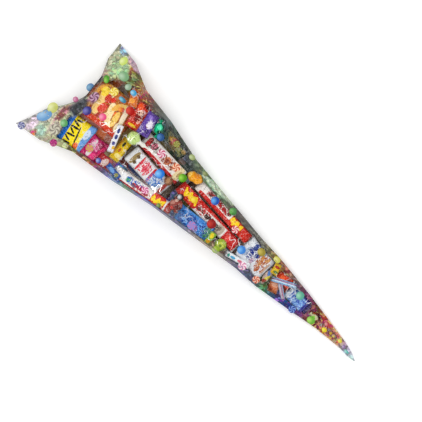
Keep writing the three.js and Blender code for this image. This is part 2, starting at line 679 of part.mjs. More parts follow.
function filmBag() {
  const topSheet = drawTopSheet();
  const outside = solidOf(between(pointsOf(topSheet), pointsOf(bottomSheet), 0));
  const inside = solidOf(between(lining(topSheet, -1), lining(bottomSheet, 1), 1));
  const vent = places[ROWS - 2][3];
  const hole = new THREE.CylinderGeometry(VENT_DIAMETER / 2, VENT_DIAMETER / 2, 2 * EAR_POCKET, 12);
  hole.rotateX(Math.PI / 2);
  hole.translate(vent.x, vent.y, topSheet[ROWS - 2][3] + EAR_POCKET / 2);
  const mesh = new THREE.Mesh(
    geometryOf(outside.subtract(inside).subtract(solidOf(hole))),
    new THREE.MeshStandardMaterial({ color: 0xe8eef0, roughness: 0.12, metalness: 0, transparent: true, opacity: 0.3 }),
  );
  mesh.name = "film_bag";
  return mesh;
}

const bag = filmBag();
pack.add(bag);
bag.geometry.computeBoundingBox();
const middle = bag.geometry.boundingBox.getCenter(new THREE.Vector3());
pack.position.set(-middle.x, -middle.y, 0);

const candyCone = new THREE.Group();
candyCone.add(pack);

export default candyCone;
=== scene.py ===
# %% [markdown]
# # A clear cone bag of sweets
# A long film bag lies on its back, full of wrapped sweets. The CAD model gives every sweet a plain solid
# in its place. This lesson loads that model as a frame, dresses each sweet in a printed wrapper,
# stretches a clear film over them and lights the whole like a product photograph.

# %% Load the frame
import math

import bpy
from mathutils import Matrix, Vector, noise
from mathutils.bvhtree import BVHTree


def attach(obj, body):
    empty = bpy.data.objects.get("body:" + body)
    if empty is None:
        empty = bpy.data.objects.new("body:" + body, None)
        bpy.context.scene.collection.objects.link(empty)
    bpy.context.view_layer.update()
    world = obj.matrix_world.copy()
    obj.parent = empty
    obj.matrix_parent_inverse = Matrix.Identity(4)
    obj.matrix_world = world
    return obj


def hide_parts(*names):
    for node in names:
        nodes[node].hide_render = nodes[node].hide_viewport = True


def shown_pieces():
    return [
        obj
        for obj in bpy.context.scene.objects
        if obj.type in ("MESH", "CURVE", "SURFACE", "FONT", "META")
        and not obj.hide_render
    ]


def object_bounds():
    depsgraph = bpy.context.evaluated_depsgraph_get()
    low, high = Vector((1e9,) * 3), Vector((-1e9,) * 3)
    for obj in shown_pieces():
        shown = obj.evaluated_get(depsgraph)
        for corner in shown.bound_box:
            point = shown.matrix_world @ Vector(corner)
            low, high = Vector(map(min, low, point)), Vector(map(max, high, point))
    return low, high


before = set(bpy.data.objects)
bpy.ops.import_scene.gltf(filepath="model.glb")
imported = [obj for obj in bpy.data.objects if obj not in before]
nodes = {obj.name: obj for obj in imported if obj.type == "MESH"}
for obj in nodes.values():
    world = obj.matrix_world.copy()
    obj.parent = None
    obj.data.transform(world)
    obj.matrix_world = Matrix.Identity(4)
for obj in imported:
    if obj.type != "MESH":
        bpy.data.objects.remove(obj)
cad_low, cad_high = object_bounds()
print(len(nodes), "nodes, bag", [round(c, 3) for c in cad_high - cad_low])

# %% [markdown]
# Three small helpers come first. Blender's operators act on what is selected, so the first one clears the
# selection. The second turns a colour as a maker reads it on screen into the linear values that a shader
# wants. The third gives a finished piece its material, hangs it on the frame's root and hides the solids
# that it stands for.

# %% Helpers
MM = 0.001


def deselect():
    if bpy.context.object and bpy.context.object.mode != "OBJECT":
        bpy.ops.object.mode_set(mode="OBJECT")
    bpy.ops.object.select_all(action="DESELECT")


def colour(code):
    values = [int(code[i : i + 2], 16) / 255 for i in (0, 2, 4)]
    return [v / 12.92 if v <= 0.04045 else ((v + 0.055) / 1.055) ** 2.4 for v in values] + [1]


def finished(piece, material, *replaced):
    piece.data.materials.clear()
    piece.data.materials.append(material)
    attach(piece, "root")
    if replaced:
        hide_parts(*replaced)


print("helpers ready")

# %% [markdown]
# A wrapper's print is built from soft-edged shapes: bands, ovals and blocks, each at its own place on
# the packet. One node group makes such a mask, and each wrapper's material stacks a few of them. The
# packets carry a UV map that counts in units of 100 mm from their middle, so a mark keeps its real size
# on every packet. Materials and groups are built by a few short functions, which add one node each and
# link it to what it needs.

# %% The mask group
def new_group(name, inputs, outputs):
    group = bpy.data.node_groups.new(name, "ShaderNodeTree")
    for socket, kind, value in inputs:
        made = group.interface.new_socket(name=socket, in_out="INPUT", socket_type=kind)
        made.default_value = value
    for socket, kind in outputs:
        group.interface.new_socket(name=socket, in_out="OUTPUT", socket_type=kind)
    return group, group.nodes.new("NodeGroupInput"), group.nodes.new("NodeGroupOutput")


def set_inputs(tree, node, inputs):
    """Gives each input its value: another node's output, which is linked, or a plain value."""
    for key, value in inputs.items():
        if isinstance(value, bpy.types.NodeSocket):
            tree.links.new(value, node.inputs[key])
        else:
            node.inputs[key].default_value = value


def node_in(tree, kind, inputs, **properties):
    node = tree.nodes.new(kind)
    for key, value in properties.items():
        setattr(node, key, value)
    set_inputs(tree, node, inputs)
    return node


def math_node(tree, operation, *values, clamp=False):
    inputs = dict(enumerate(values))
    return node_in(tree, "ShaderNodeMath", inputs, operation=operation, use_clamp=clamp).outputs[0]


def mix_colours(tree, factor, a, b, blend="MIX"):
    inputs = {"Factor": factor, "A": a, "B": b}
    return node_in(tree, "ShaderNodeMix", inputs, data_type="RGBA", blend_type=blend).outputs["Result"]


def build_mark_group():
    group, given, out = new_group(
        "printed_mark",
        [
            ("Place", "NodeSocketVector", (0, 0, 0)),
            ("Centre", "NodeSocketVector", (0, 0, 0)),
            ("Half Width", "NodeSocketFloat", 0.1),
            ("Half Length", "NodeSocketFloat", 0.1),
            ("Turn", "NodeSocketFloat", 0.0),
            ("Power", "NodeSocketFloat", 2.0),
            ("Waver", "NodeSocketFloat", 0.01),
            ("Scribble", "NodeSocketFloat", 0.0),
        ],
        [("Mask", "NodeSocketFloat")],
    )
    place = given.outputs["Place"]
    ripple = node_in(group, "ShaderNodeTexNoise", {"Vector": place, "Scale": 14})
    waver = node_in(
        group, "ShaderNodeVectorMath", {0: ripple.outputs["Color"], 1: given.outputs["Waver"], 2: place},
        operation="MULTIPLY_ADD",
    )
    from_centre = {0: waver.outputs[0], 1: given.outputs["Centre"]}
    off = node_in(group, "ShaderNodeVectorMath", from_centre, operation="SUBTRACT")
    turned = node_in(
        group, "ShaderNodeVectorRotate", {"Vector": off.outputs[0], "Angle": given.outputs["Turn"]},
        rotation_type="Z_AXIS",
    )
    split = node_in(group, "ShaderNodeSeparateXYZ", {0: turned.outputs[0]})
    sides = []
    for axis, size in ((0, "Half Width"), (1, "Half Length")):
        from_middle = math_node(group, "ABSOLUTE", split.outputs[axis])
        share = math_node(group, "DIVIDE", from_middle, given.outputs[size])
        sides.append(math_node(group, "POWER", share, given.outputs["Power"]))
    reach = math_node(group, "ADD", *sides)
    edge = math_node(group, "MULTIPLY", math_node(group, "SUBTRACT", 1.0, reach), 6.0, clamp=True)
    lines = {"Vector": place, "Scale": 13, "Detail": 1, "Distortion": 1.2}
    pen = node_in(group, "ShaderNodeTexNoise", lines)
    from_line = math_node(group, "ABSOLUTE", math_node(group, "SUBTRACT", pen.outputs[0], 0.5))
    line = math_node(group, "MULTIPLY_ADD", from_line, -26.0, 2.1, clamp=True)
    unlined = math_node(group, "SUBTRACT", 1.0, line)
    left_out = math_node(group, "MULTIPLY", unlined, given.outputs["Scribble"])
    drawn = math_node(group, "SUBTRACT", 1.0, left_out)
    group.links.new(math_node(group, "MULTIPLY", edge, drawn), out.inputs["Mask"])
    return group


MARK = build_mark_group()
print("mark group:", len(MARK.nodes), "nodes")


# %% [markdown]
# Film wrappers are never quite flat. A second group adds fine creases, which run along the packet near
# its welds, and the small ribs that the sealing jaws leave across both ends.

# %% The crease group
def build_crease_group():
    group, given, out = new_group(
        "film_creases",
        [
            ("Place", "NodeSocketVector", (0, 0, 0)),
            ("Half Length", "NodeSocketFloat", 0.5),
            ("Strength", "NodeSocketFloat", 1.0),
        ],
        [("Height", "NodeSocketFloat"), ("Gloss", "NodeSocketFloat")],
    )
    place = given.outputs["Place"]
    stretch = node_in(group, "ShaderNodeMapping", {"Vector": place, "Scale": (1, 0.35, 1)})
    folds = node_in(
        group, "ShaderNodeTexNoise", {"Vector": stretch.outputs[0], "Scale": 9, "Detail": 3},
        noise_type="RIDGED_MULTIFRACTAL",
    )
    split = node_in(group, "ShaderNodeSeparateXYZ", {0: place})
    along = math_node(group, "ABSOLUTE", split.outputs["Y"])
    weld_start = math_node(group, "SUBTRACT", given.outputs["Half Length"], 0.07)
    past = math_node(group, "SUBTRACT", along, weld_start)
    weld = math_node(group, "MULTIPLY", past, 60.0, clamp=True)
    ribs = math_node(group, "SINE", math_node(group, "MULTIPLY", along, 420.0))
    ribbed = math_node(group, "MULTIPLY", ribs, weld)
    fold = math_node(group, "MULTIPLY", folds.outputs[0], given.outputs["Strength"])
    height = math_node(group, "MULTIPLY_ADD", ribbed, 0.35, fold)
    gloss = math_node(group, "MULTIPLY_ADD", folds.outputs[0], 0.12, 0.2)
    set_inputs(group, out, {"Height": height, "Gloss": gloss})
    return group


CREASES = build_crease_group()
print("crease group:", len(CREASES.nodes), "nodes")


# %% [markdown]
# A sweet's wrapper is busy: pictures, rings and rows of small strokes cover it. A third group lays such
# fine print over any colour, as irregular light and dark strokes a few millimetres long.

# %% The small print group
def build_small_print_group():
    group, given, out = new_group(
        "small_print",
        [
            ("Place", "NodeSocketVector", (0, 0, 0)),
            ("Color", "NodeSocketColor", (1, 1, 1, 1)),
            ("Amount", "NodeSocketFloat", 0.5),
        ],
        [("Color", "NodeSocketColor")],
    )
    place = given.outputs["Place"]
    strokes = node_in(
        group, "ShaderNodeTexNoise", {"Vector": place, "Scale": 24, "Detail": 2, "Distortion": 1.6}
    )
    curls = node_in(
        group, "ShaderNodeTexNoise", {"Vector": place, "Scale": 13, "Detail": 2},
        noise_type="RIDGED_MULTIFRACTAL",
    )
    dark_mask = math_node(group, "MULTIPLY_ADD", strokes.outputs[0], -14.0, 5.9, clamp=True)
    light_mask = math_node(group, "MULTIPLY_ADD", strokes.outputs[0], 14.0, -8.1, clamp=True)
    curl_mask = math_node(group, "MULTIPLY_ADD", curls.outputs[0], 5.0, -5.2, clamp=True)
    current = given.outputs["Color"]
    steps = (
        (dark_mask, "MULTIPLY", "4a3a3c", 0.85),
        (light_mask, "MIX", "fbf6ec", 0.35),
        (curl_mask, "MIX", "fdfdfb", 0.25),
    )
    for mask, blend, code, strength in steps:
        asked = math_node(group, "MULTIPLY", mask, given.outputs["Amount"])
        share = math_node(group, "MULTIPLY", asked, strength)
        current = mix_colours(group, share, current, colour(code), blend)
    group.links.new(current, out.inputs["Color"])
    return group


SMALL_PRINT = build_small_print_group()
print("small print group:", len(SMALL_PRINT.nodes), "nodes")


# %% [markdown]
# With these groups a wrapper's material is one call: its ground colour, then its marks, painted one over
# the other. Sizes are in millimetres from the packet's middle; x runs across it and y along it, towards
# the bag's mouth.

# %% Wrapper materials
UV_UNIT = 100  # millimetres in one unit of a packet's UV map


def principled(name, metallic=0.0):
    material = bpy.data.materials.new(name)
    material.use_nodes = True
    shader = material.node_tree.nodes["Principled BSDF"]
    shader.inputs["Metallic"].default_value = metallic
    return material, material.node_tree, shader


def wrapper(name, ground, marks=(), length=60, metallic=0.0, creases=0.6, busy=0.7):
    material, tree, shader = principled(name, metallic)
    place = node_in(tree, "ShaderNodeUVMap", {}, uv_map="place").outputs[0]
    painted = colour(ground)
    for x, y, half_width, half_length, code, *more in marks:
        turn, power, waver, scribble = (list(more) + [0, 2, 0.3, 0][len(more) :])[:4]
        mark = node_in(tree, "ShaderNodeGroup", {
            "Place": place,
            "Centre": (x / UV_UNIT, y / UV_UNIT, 0),
            "Half Width": half_width / UV_UNIT,
            "Half Length": half_length / UV_UNIT,
            "Turn": math.radians(-turn),
            "Power": power,
            "Waver": waver / UV_UNIT,
            "Scribble": scribble,
        }, node_tree=MARK)
        painted = mix_colours(tree, mark.outputs["Mask"], painted, colour(code))
    fine_inputs = {"Place": place, "Color": painted, "Amount": 0 if metallic else busy}
    fine = node_in(tree, "ShaderNodeGroup", fine_inputs, node_tree=SMALL_PRINT)
    crease_inputs = {"Place": place, "Half Length": length / 2 / UV_UNIT, "Strength": creases}
    crease = node_in(tree, "ShaderNodeGroup", crease_inputs, node_tree=CREASES)
    height = crease.outputs["Height"]
    bump = node_in(tree, "ShaderNodeBump", {"Strength": 0.45, "Distance": 0.0012, "Height": height})
    set_inputs(tree, shader, {
        "Base Color": fine.outputs[0],
        "Roughness": crease.outputs["Gloss"],
        "Specular IOR Level": 0.12,
        "Normal": bump.outputs[0],
    })
    return material


print("wrapper materials ready")


# %% [markdown]
# Every sweet was laid flat and then tilted to lie on its neighbours. To dress it, its own axes are found
# again: up is the direction in which the solid is thinnest, and along comes from the angle at which it
# was laid.

# %% Each sweet's own axes
TILTS, TILTS_PER_UNIT = 20, 60  # tilts tried to each side, and how many of them make a slope of 1


def own_frame(node, degrees):
    points = [v.co.copy() for v in nodes[node].data.vertices]
    along = Vector((-math.sin(math.radians(degrees)), math.cos(math.radians(degrees)), 0))
    best = None
    for tilt_x in range(-TILTS, TILTS + 1):
        for tilt_y in range(-TILTS, TILTS + 1):
            up = Vector((tilt_x / TILTS_PER_UNIT, tilt_y / TILTS_PER_UNIT, 1)).normalized()
            heights = [up.dot(p) for p in points]
            spread = max(heights) - min(heights)
            if best is None or spread < best[0]:
                best = (spread, up)
    up = best[1]
    along = (along - up * along.dot(up)).normalized()
    across = along.cross(up)
    axes = (across, along, up)
    ranges = [(min(a.dot(p) for p in points), max(a.dot(p) for p in points)) for a in axes]
    centre = sum((a * (low + high) / 2 for a, (low, high) in zip(axes, ranges)), Vector())
    matrix = Matrix(axes).transposed().to_4x4()
    matrix.translation = centre
    width, length, height = (high - low for low, high in ranges)
    return matrix, width, length, height


matrix, width, length, height = own_frame("nougat_bar", 0)
print("nougat bar measures", [round(v * 1000) for v in (width, length, height)], "mm")


# %% [markdown]
# A flow pack is a tube of film, welded flat at both ends. It is modelled from a flat grid: the grid is
# puffed up by a Displace modifier that reads a vertex group, mirrored below itself, and crumpled a
# little by a cloud texture.

# %% Model a flow pack
CLOUDS = bpy.data.textures.new("crumple", "CLOUDS")
CLOUDS.noise_scale = 0.012


def apply_all(piece):
    bpy.context.view_layer.objects.active = piece
    for modifier in list(piece.modifiers):
        bpy.ops.object.modifier_apply(modifier=modifier.name)


def mark_place(mesh, scale):
    """Stores each corner's own x and y, times scale, in a UV map named place, and drops all others."""
    layer = mesh.uv_layers.get("place") or mesh.uv_layers.new(name="place")
    for loop in mesh.loops:
        point = mesh.vertices[loop.vertex_index].co
        layer.data[loop.index].uv = (point.x * scale, point.y * scale)
    for other in [l for l in mesh.uv_layers if l.name != "place"]:
        mesh.uv_layers.remove(other)


def lay_in_place(piece, matrix):
    """Marks the piece's own place in its UV map, then moves its mesh to where the sweet lies."""
    mark_place(piece.data, 1000 / UV_UNIT)
    piece.matrix_world = matrix
    deselect()
    piece.select_set(True)
    bpy.context.view_layer.objects.active = piece
    bpy.ops.object.transform_apply(location=True, rotation=True, scale=True)


def flow_pack(name, matrix, width, length, height, fullness=0.35, crimp=6 * MM, crumple=0.8):
    deselect()
    rows = max(18, round(length / (4 * MM)))
    bpy.ops.mesh.primitive_grid_add(x_subdivisions=14, y_subdivisions=rows, size=1)
    piece = bpy.context.object
    piece.name = name
    piece.scale = (width, length, 1)
    bpy.ops.object.transform_apply(location=False, rotation=False, scale=True)
    puff = piece.vertex_groups.new(name="puff")
    body = length / 2 - crimp
    for vertex in piece.data.vertices:
        x, y = vertex.co.x / (width / 2), vertex.co.y
        inside = max(1 - (abs(y) / body) ** 2, 0)
        swell = inside**fullness * max(1 - abs(x) ** 3.2, 0) ** 0.5
        rim = 0.0 if abs(x) > 0.999 or abs(y) > length / 2 - 1e-6 else 0.4 * MM / (height / 2)
        puff.add([vertex.index], min(max(swell, rim), 1), "REPLACE")
    for vertex in piece.data.vertices:
        waist = max(1 - (abs(vertex.co.y) / body) ** 2, 0) ** fullness
        vertex.co.x *= 1 - 0.05 * waist
    lift = piece.modifiers.new("puff", "DISPLACE")
    lift.direction, lift.mid_level, lift.strength, lift.vertex_group = "Z", 0, height / 2, "puff"
    under = piece.modifiers.new("underside", "MIRROR")
    under.use_axis = (False, False, True)
    under.merge_threshold = 0.00001
    crush = piece.modifiers.new("crush", "DISPLACE")
    crush.texture, crush.mid_level, crush.strength = CLOUDS, 0.5, crumple * MM
    crush.texture_coords = "GLOBAL"
    crush.vertex_group = "puff"
    piece.location = matrix.translation
    apply_all(piece)
    piece.location = (0, 0, 0)
    bpy.ops.object.shade_smooth()
    lay_in_place(piece, matrix)
    return piece


print("flow pack ready")


# %% [markdown]
# Twisted sweets, lollies and jellies are all rounded sections along one axis. A UV sphere already has
# such rings, and its two poles close the ends, so each ring is moved and scaled to its station along the
# sweet.

# %% Model a sweet ring by ring
def ringed(name, matrix, stations, power=2.0, sides=24, folds=0, fold_depth=0.0):
    deselect()
    rings = 26
    bpy.ops.mesh.primitive_uv_sphere_add(segments=sides, ring_count=rings, radius=1)
    piece = bpy.context.object
    piece.name = name
    low, high = stations[0][0], stations[-1][0]
    for vertex in piece.data.vertices:
        share = 1 - math.acos(max(-1, min(1, vertex.co.z))) / math.pi
        y = low + (high - low) * share
        before = max([s for s in stations if s[0] <= y + 1e-9], key=lambda s: s[0])
        after = min([s for s in stations if s[0] >= y - 1e-9], key=lambda s: s[0])
        t = 0 if after[0] == before[0] else (y - before[0]) / (after[0] - before[0])
        t = t * t * (3 - 2 * t)
        wide, high_part = (before[i] + (after[i] - before[i]) * t for i in (1, 2))
        angle = math.atan2(vertex.co.y, vertex.co.x)
        if 1 - abs(vertex.co.z) < 1e-6:
            vertex.co = (0, y, 0)
            continue
        cosine, sine = math.cos(angle), math.sin(angle)
        folded = 1 if min(wide, high_part) < 3.2 * MM else 0.12
        edge = 1 + fold_depth * math.cos(folds * angle) * folded
        vertex.co = (
            wide * math.copysign(abs(cosine) ** (2 / power), cosine) * edge,
            y,
            high_part * math.copysign(abs(sine) ** (2 / power), sine) * edge,
        )
    bpy.ops.object.mode_set(mode="EDIT")
    bpy.ops.mesh.select_all(action="SELECT")
    bpy.ops.mesh.normals_make_consistent(inside=False)
    bpy.ops.object.mode_set(mode="OBJECT")
    soft = piece.modifiers.new("soft", "SUBSURF")
    soft.levels = soft.render_levels = 1
    apply_all(piece)
    bpy.ops.object.shade_smooth()
    lay_in_place(piece, matrix)
    return piece


def twisted(name, matrix, width, length, height, fan):
    half, body = length / 2, length / 2 - fan
    stations = [
        (-half, width * 0.40, 1.0 * MM),
        (-body - fan * 0.25, 3 * MM, 1.6 * MM),
        (-body, 2.2 * MM, 1.8 * MM),
        (-body * 0.80, width * 0.40, height * 0.42),
        (-body * 0.35, width / 2, height / 2),
        (body * 0.35, width / 2, height / 2),
        (body * 0.80, width * 0.40, height * 0.42),
        (body, 2.2 * MM, 1.8 * MM),
        (body + fan * 0.25, 3 * MM, 1.6 * MM),
        (half, width * 0.40, 1.0 * MM),
    ]
    return ringed(name, matrix, stations, power=2.3, folds=9, fold_depth=0.16)


def jelly(name, matrix, width, length, height, lobes=0.0):
    stations = []
    for step in range(15):
        share = step / 14
        round_part = max(math.sin(math.pi * share), 0.001) ** 0.5
        lobe = 1 - lobes * math.cos(4 * math.pi * share)
        stations.append(((share - 0.5) * length, width / 2 * round_part * lobe, height / 2 * round_part))
    return ringed(name, matrix, stations, power=2.3)


print("ringed sweets ready")

# %% [markdown]
# Now the packets themselves, from the mouth down to the tip. Each entry names the sweet, the angle at
# which it lies, its form, its ground colour and the marks of its print. The designs are plain shapes:
# blocks, dots and bands.

# %% The large packets at the mouth
def packet(
    node, degrees, ground, marks=(), fullness=0.35, metallic=0.0, creases=0.6, crumple=0.8, crimp=6 * MM
):
    matrix, width, length, height = own_frame(node, degrees)
    piece = flow_pack(node + "_wrapper", matrix, width, length, height, fullness, crimp, crumple)
    finished(piece, wrapper(node + "_print", ground, marks, length * 1000, metallic, creases), node)
    return piece


def candy(
    node, degrees, ground, marks=(), form="twist", fan=6 * MM, lobes=0.0, metallic=0.0, creases=0.5
):
    matrix, width, length, height = own_frame(node, degrees)
    if form == "twist":
        piece = twisted(node + "_wrapper", matrix, width, length, height, fan)
    else:
        piece = jelly(node + "_soft", matrix, width, length, height, lobes)
    finished(piece, wrapper(node + "_print", ground, marks, length * 1000, metallic, creases), node)
    return piece


def zigzag(top, strokes, step, half_width, half_length, code):
    """Strokes down the middle of a packet, each turned against the one before."""
    return [
        (0, top - step * i, half_width, half_length, code, -28 if i % 2 else 28, 4, 0.6)
        for i in range(strokes)
    ]


packet("snack_stick_bag", 6, "4c4a4c", [
    (-20, 20, 30, 30, "7a5a70", 0, 3, 2), (6, -4, 46, 56, "8a3c18", 0, 2.6),
    (5, -10, 43, 56, "e8a23c", 0, 2.6), (2, -10, 38, 46, "96380e", 0, 4, 0.5, 0.4),
    (-26, -20, 9, 5, "fbf0cc", 10, 3, 1), (18, 2, 6, 5, "d8301c", 0, 3, 1),
    (-14, -4, 4, 8, "f8e4b0", 40, 3, 1), (26, 14, 5, 9, "f8e4b0", -30, 3, 1),
    (2, 4, 3, 9, "a82810", 30, 3, 1), (-24, 10, 5, 7, "a82810", 0, 3, 1),
    (16, -26, 5, 4, "c83018", 0, 3, 1), (-2, -18, 5, 4, "e86a1c", 0, 3, 1),
    (24, -26, 6, 5, "f8d870", -20, 3, 1), (30, 2, 4, 6, "3a78b0", 10, 3, 1),
    (-30, 0, 5, 4, "f4d23a", 0, 3, 1), (-38, -10, 9, 46, "d23c1c", 0, 4, 1),
    (-2, 22, 26, 9, "f2c878", 8, 3, 1), (-8, 10, 11, 8, "d8402c", -10, 3), (14, 12, 10, 7, "c8321c", 20, 2),
    (22, 26, 11, 9, "f4d23a", 0, 2), (-6, -8, 22, 7, "f6dca0", 14, 3, 1),
    (12, -14, 14, 6, "eab24a", -30, 2), (-10, -24, 18, 6, "f4c860", 6, 2),
    (8, -34, 26, 5, "f0e0c0", 10, 3, 1), (-20, -38, 12, 7, "f2e2b8", 0, 2), (30, -8, 7, 20, "c86a1c", 0, 2),
    (0, 33, 20, 4, "b4641e", 0, 2)], fullness=0.4, crumple=1.6)
packet("yellow_puff_bag", 10, "f4dc08", [
    (0, 26, 40, 8, "1670d4", 0, 5), (-25, 9, 2.2, 9, "16140a", 8, 3, 2),
    (-16, 12, 2.2, 8, "16140a", -24, 3, 2), (-7, 9, 2.4, 10, "16140a", 12, 3, 2),
    (2, 11, 2, 8, "16140a", -30, 3, 2), (10, 9, 2.4, 10, "16140a", 6, 3, 2),
    (19, 11, 2.2, 9, "16140a", -18, 3, 2), (26, 8, 2, 7, "16140a", 14, 3, 2),
    (-6, -4, 26, 1.6, "16140a", 8, 3, 3), (4, -24, 36, 9, "6aa0e0", 0, 3, 1),
    (10, -20, 12, 6, "c8dcf0", 0, 2), (-22, -12, 8, 5, "e8641c", 0, 2)],
    fullness=0.4, crumple=1.4)
packet("pink_gum_bag", 4, "b8125e", [
    (0, 8, 20, 5, "d8d0d0", 4, 3, 1), (-14, -4, 9, 7, "e0347a", 0, 2), (12, -6, 8, 8, "8a0e3c", 0, 2),
    (2, -12, 14, 4, "e0246a", -6, 2),
    (8, 4, 10, 12, "e890b8", 0, 4, 0.5, 1)], fullness=0.4)
packet("red_gum_bag", -80, "c2240e", [
    (0, 0, 9, 14, "7c120a", 0, 2), (-8, 18, 6, 8, "e8501c", 0, 2), (8, -16, 7, 10, "e0481a", 20, 2),
    (-2, -22, 10, 3, "f0c020", 0, 2), (6, 24, 6, 4, "5a0c08", 0, 2), (-4, 8, 8, 6, "f0c8b0", 0, 4, 0.5, 1),
    (6, -8, 6, 6, "f0c8b0", 0, 4, 0.5, 1)], fullness=0.4, crumple=1.2)
packet("orange_snap_pack", -62, "cf6a26", [
    (0, 8, 6, 5, "7a3a1a", 0, 2), (-3, -8, 6, 5, "f0a040", 0, 2)])
packet("red_jelly_sachet", 10, "b51f2a", [
    (0, 4, 9, 6, "e8c0b0", -12, 2), (-4, -8, 8, 5, "e03a3c", 0, 2), (6, -12, 4, 4, "6a1018", 0, 2),
    (-2, 6, 8, 6, "f0d8d8", 0, 4, 0.5, 1)])
packet("blue_chew_stick", -6, "24509c", [(0, 4, 4, 8, "6a9ad0", 0, 2), (0, -10, 5, 4, "8a8a4a", 0, 2)])
packet("yellow_toffee_bar", -84, "eec916", [
    (0, 12, 3, 6, "3a3a1a", 0, 2), (0, -2, 3, 5, "c8681a", 0, 2), (2, -14, 5, 5, "f8e88a", 0, 2),
    (-8, 4, 3, 20, "d89a12", 0, 4)])
packet("white_stick_pack", -68, "e4e2e6", [
    (0, 18, 3, 5, "2c3a7a", 0, 3), (0, 5, 3, 5, "34427e", 0, 3), (0, -9, 3, 4, "4a4a8a", 0, 3),
    (3, -18, 3, 4, "e0b020", 0, 3)])
packet("purple_cream_bag", -80, "5e3f9e", [
    (2, 0, 6, 9, "e8dcec", 0, 2, 1), (-4, 14, 5, 5, "8a6ac8", 0, 2), (4, -14, 5, 5, "3a2472", 0, 2),
    (-2, -4, 3, 4, "7a2a3a", 0, 2),
    (2, 2, 8, 9, "efe6f2", 0, 3, 0.5, 1)])

# %% [markdown]
# The long wafer bars of the middle are what the eye finds first, so they get the most marks: a coloured
# band along one side, red ends and a zigzag of yellow strokes. A soft sweet without a wrapper is a jelly
# form, and a foil one gets a metallic ground without small print.

# %% The bars and sachets of the middle
packet("strawberry_milk_sachet", -4, "dfe0e2", [
    (0, 38, 16, 5, "9a8250", 0, 2, 1), (-7, 32, 4, 4, "5c4626", 0, 2), (6, 34, 4, 4, "6a5028", 0, 2),
    (0, 22, 17, 2.2, "c8202c", 4, 4), (0, 12, 15, 7, "ece9ea", 0, 2), (2, 9, 12, 3.4, "d8536a", 4, 3, 1),
    (-2, 3, 12, 2, "e07a82", 2, 3, 1), (0, -10, 17, 3, "c8222c", 6, 4), (-2, -20, 14, 6, "c6d6e2", 0, 2),
    (4, -34, 12, 7, "c4cad0", 0, 2, 1), (-8, -30, 6, 5, "8aa6c4", 0, 2), (0, -44, 14, 4, "a8382e", 0, 3),
    (1, 10, 14, 14, "d01c3c", 0, 5, 0.5, 1), (-2, -22, 15, 14, "2a6ac0", 0, 5, 0.5, 1)],
    fullness=0.3, crumple=1.2)
packet("white_biscuit_bar", -3, "e8e2dc", [
    (-14, 0, 4.5, 58, "c01a20", 0, 6), (2, 42, 12, 5, "c8262a", 0, 3, 1), (4, 28, 8, 7, "e07a90", 0, 2),
    (2, 16, 10, 3, "b8a8a0", 0, 3, 1), (2, 4, 9, 3, "d8bcb4", 0, 3, 1), (3, -10, 9, 8, "c8744a", 0, 2),
    (3, -10, 5, 4, "7a2a1c", 0, 2), (4, -26, 9, 4, "d0a888", 0, 3, 1), (2, -44, 15, 7, "e8d4a4", 0, 4),
    (2, -46, 8, 3, "c8a86a", 0, 2),
    (3, 34, 11, 14, "3a1414", 0, 5, 0.5, 1), (3, -14, 11, 16, "8a3418", 0, 5, 0.5, 1)], fullness=0.25)
packet("blue_wafer_bar", 10, "e6e2de", [
    (-10, 8, 3, 60, "c8242c", 0, 6, 0.6), (2, 48, 8, 6, "e8e8ea", 0, 3), (2, 36, 6, 5, "3aa04a", 0, 2),
    (0, 20, 5, 9, "3a4a6a", 14, 2, 1.2), (2, 6, 6, 6, "c83a6a", 0, 2), (-1, -6, 5, 8, "9a3a3a", -10, 2, 1),
    (0, -36, 13, 16, "cf2616", 0, 5), (-1, -26, 5, 4.5, "f4d01c", 18, 3), (0, -36, 5, 4, "f4cc18", -12, 3),
    (1, -46, 5, 4, "f6d428", 8, 3), (0, -62, 12, 7, "a8261c", 0, 5),
    (3, 22, 7, 20, "1c5cb4", 0, 6, 0.5, 1), (-3, 4, 7, 22, "b0141c", 0, 6, 0.5, 1),
    *zigzag(-28, 4, 6, 9, 2.2, "f8d41c")], fullness=0.2)
packet("dark_liquorice_bag", -14, "23351f", [
    (-2, 20, 7, 8, "0e4a36", 0, 2, 1), (4, 6, 5, 6, "5a6a38", 0, 2, 1), (-6, -4, 4, 12, "7a5a34", 0, 2, 1),
    (2, -16, 6, 6, "8a8a4a", 0, 2), (-6, -22, 5, 6, "3a4a4a", 0, 2), (8, -26, 4, 5, "b08a4a", 0, 2),
    (0, 0, 10, 30, "8a8a4c", 0, 4, 0.5, 1)],
    fullness=0.35, crumple=1.6)
packet("coconut_wafer_bar", -2, "e2dcd6", [
    (10, 0, 5, 78, "c61c14", 4, 6), (0, 74, 16, 12, "b81a12", 0, 5), (0, 52, 15, 23, "cd2a16", 0, 5),
    (-2, 64, 6, 5, "f6c61c", 24, 3), (-1, 53, 6, 5, "f4c018", -20, 3), (0, 42, 6, 5, "f6cc2a", 16, 3),
    (-5, 25, 4, 6, "3a2420", 10, 2, 1), (-3, 14, 4, 5, "4a2c24", -12, 2, 1),
    (-5, 2, 4, 6, "3a2420", 8, 2, 1), (-2, -10, 5, 4, "6a3a30", 0, 2, 1),
    (-4, -20, 4, 5, "40302c", -8, 2, 1), (-3, -34, 11, 9, "b4a492", 0, 3, 1),
    (-2, -32, 6, 4, "7a6a5a", 0, 2, 1), (0, -64, 17, 18, "c01a18", 0, 5), (-3, -58, 7, 6, "e04438", 0, 2),
    (-4, 12, 8, 24, "b01018", 0, 6, 0.5, 1), (-5, -12, 6, 20, "2c1a18", 0, 6, 0.5, 1),
    *zigzag(67, 5, 7, 10, 2.4, "f8d01c")], fullness=0.2)
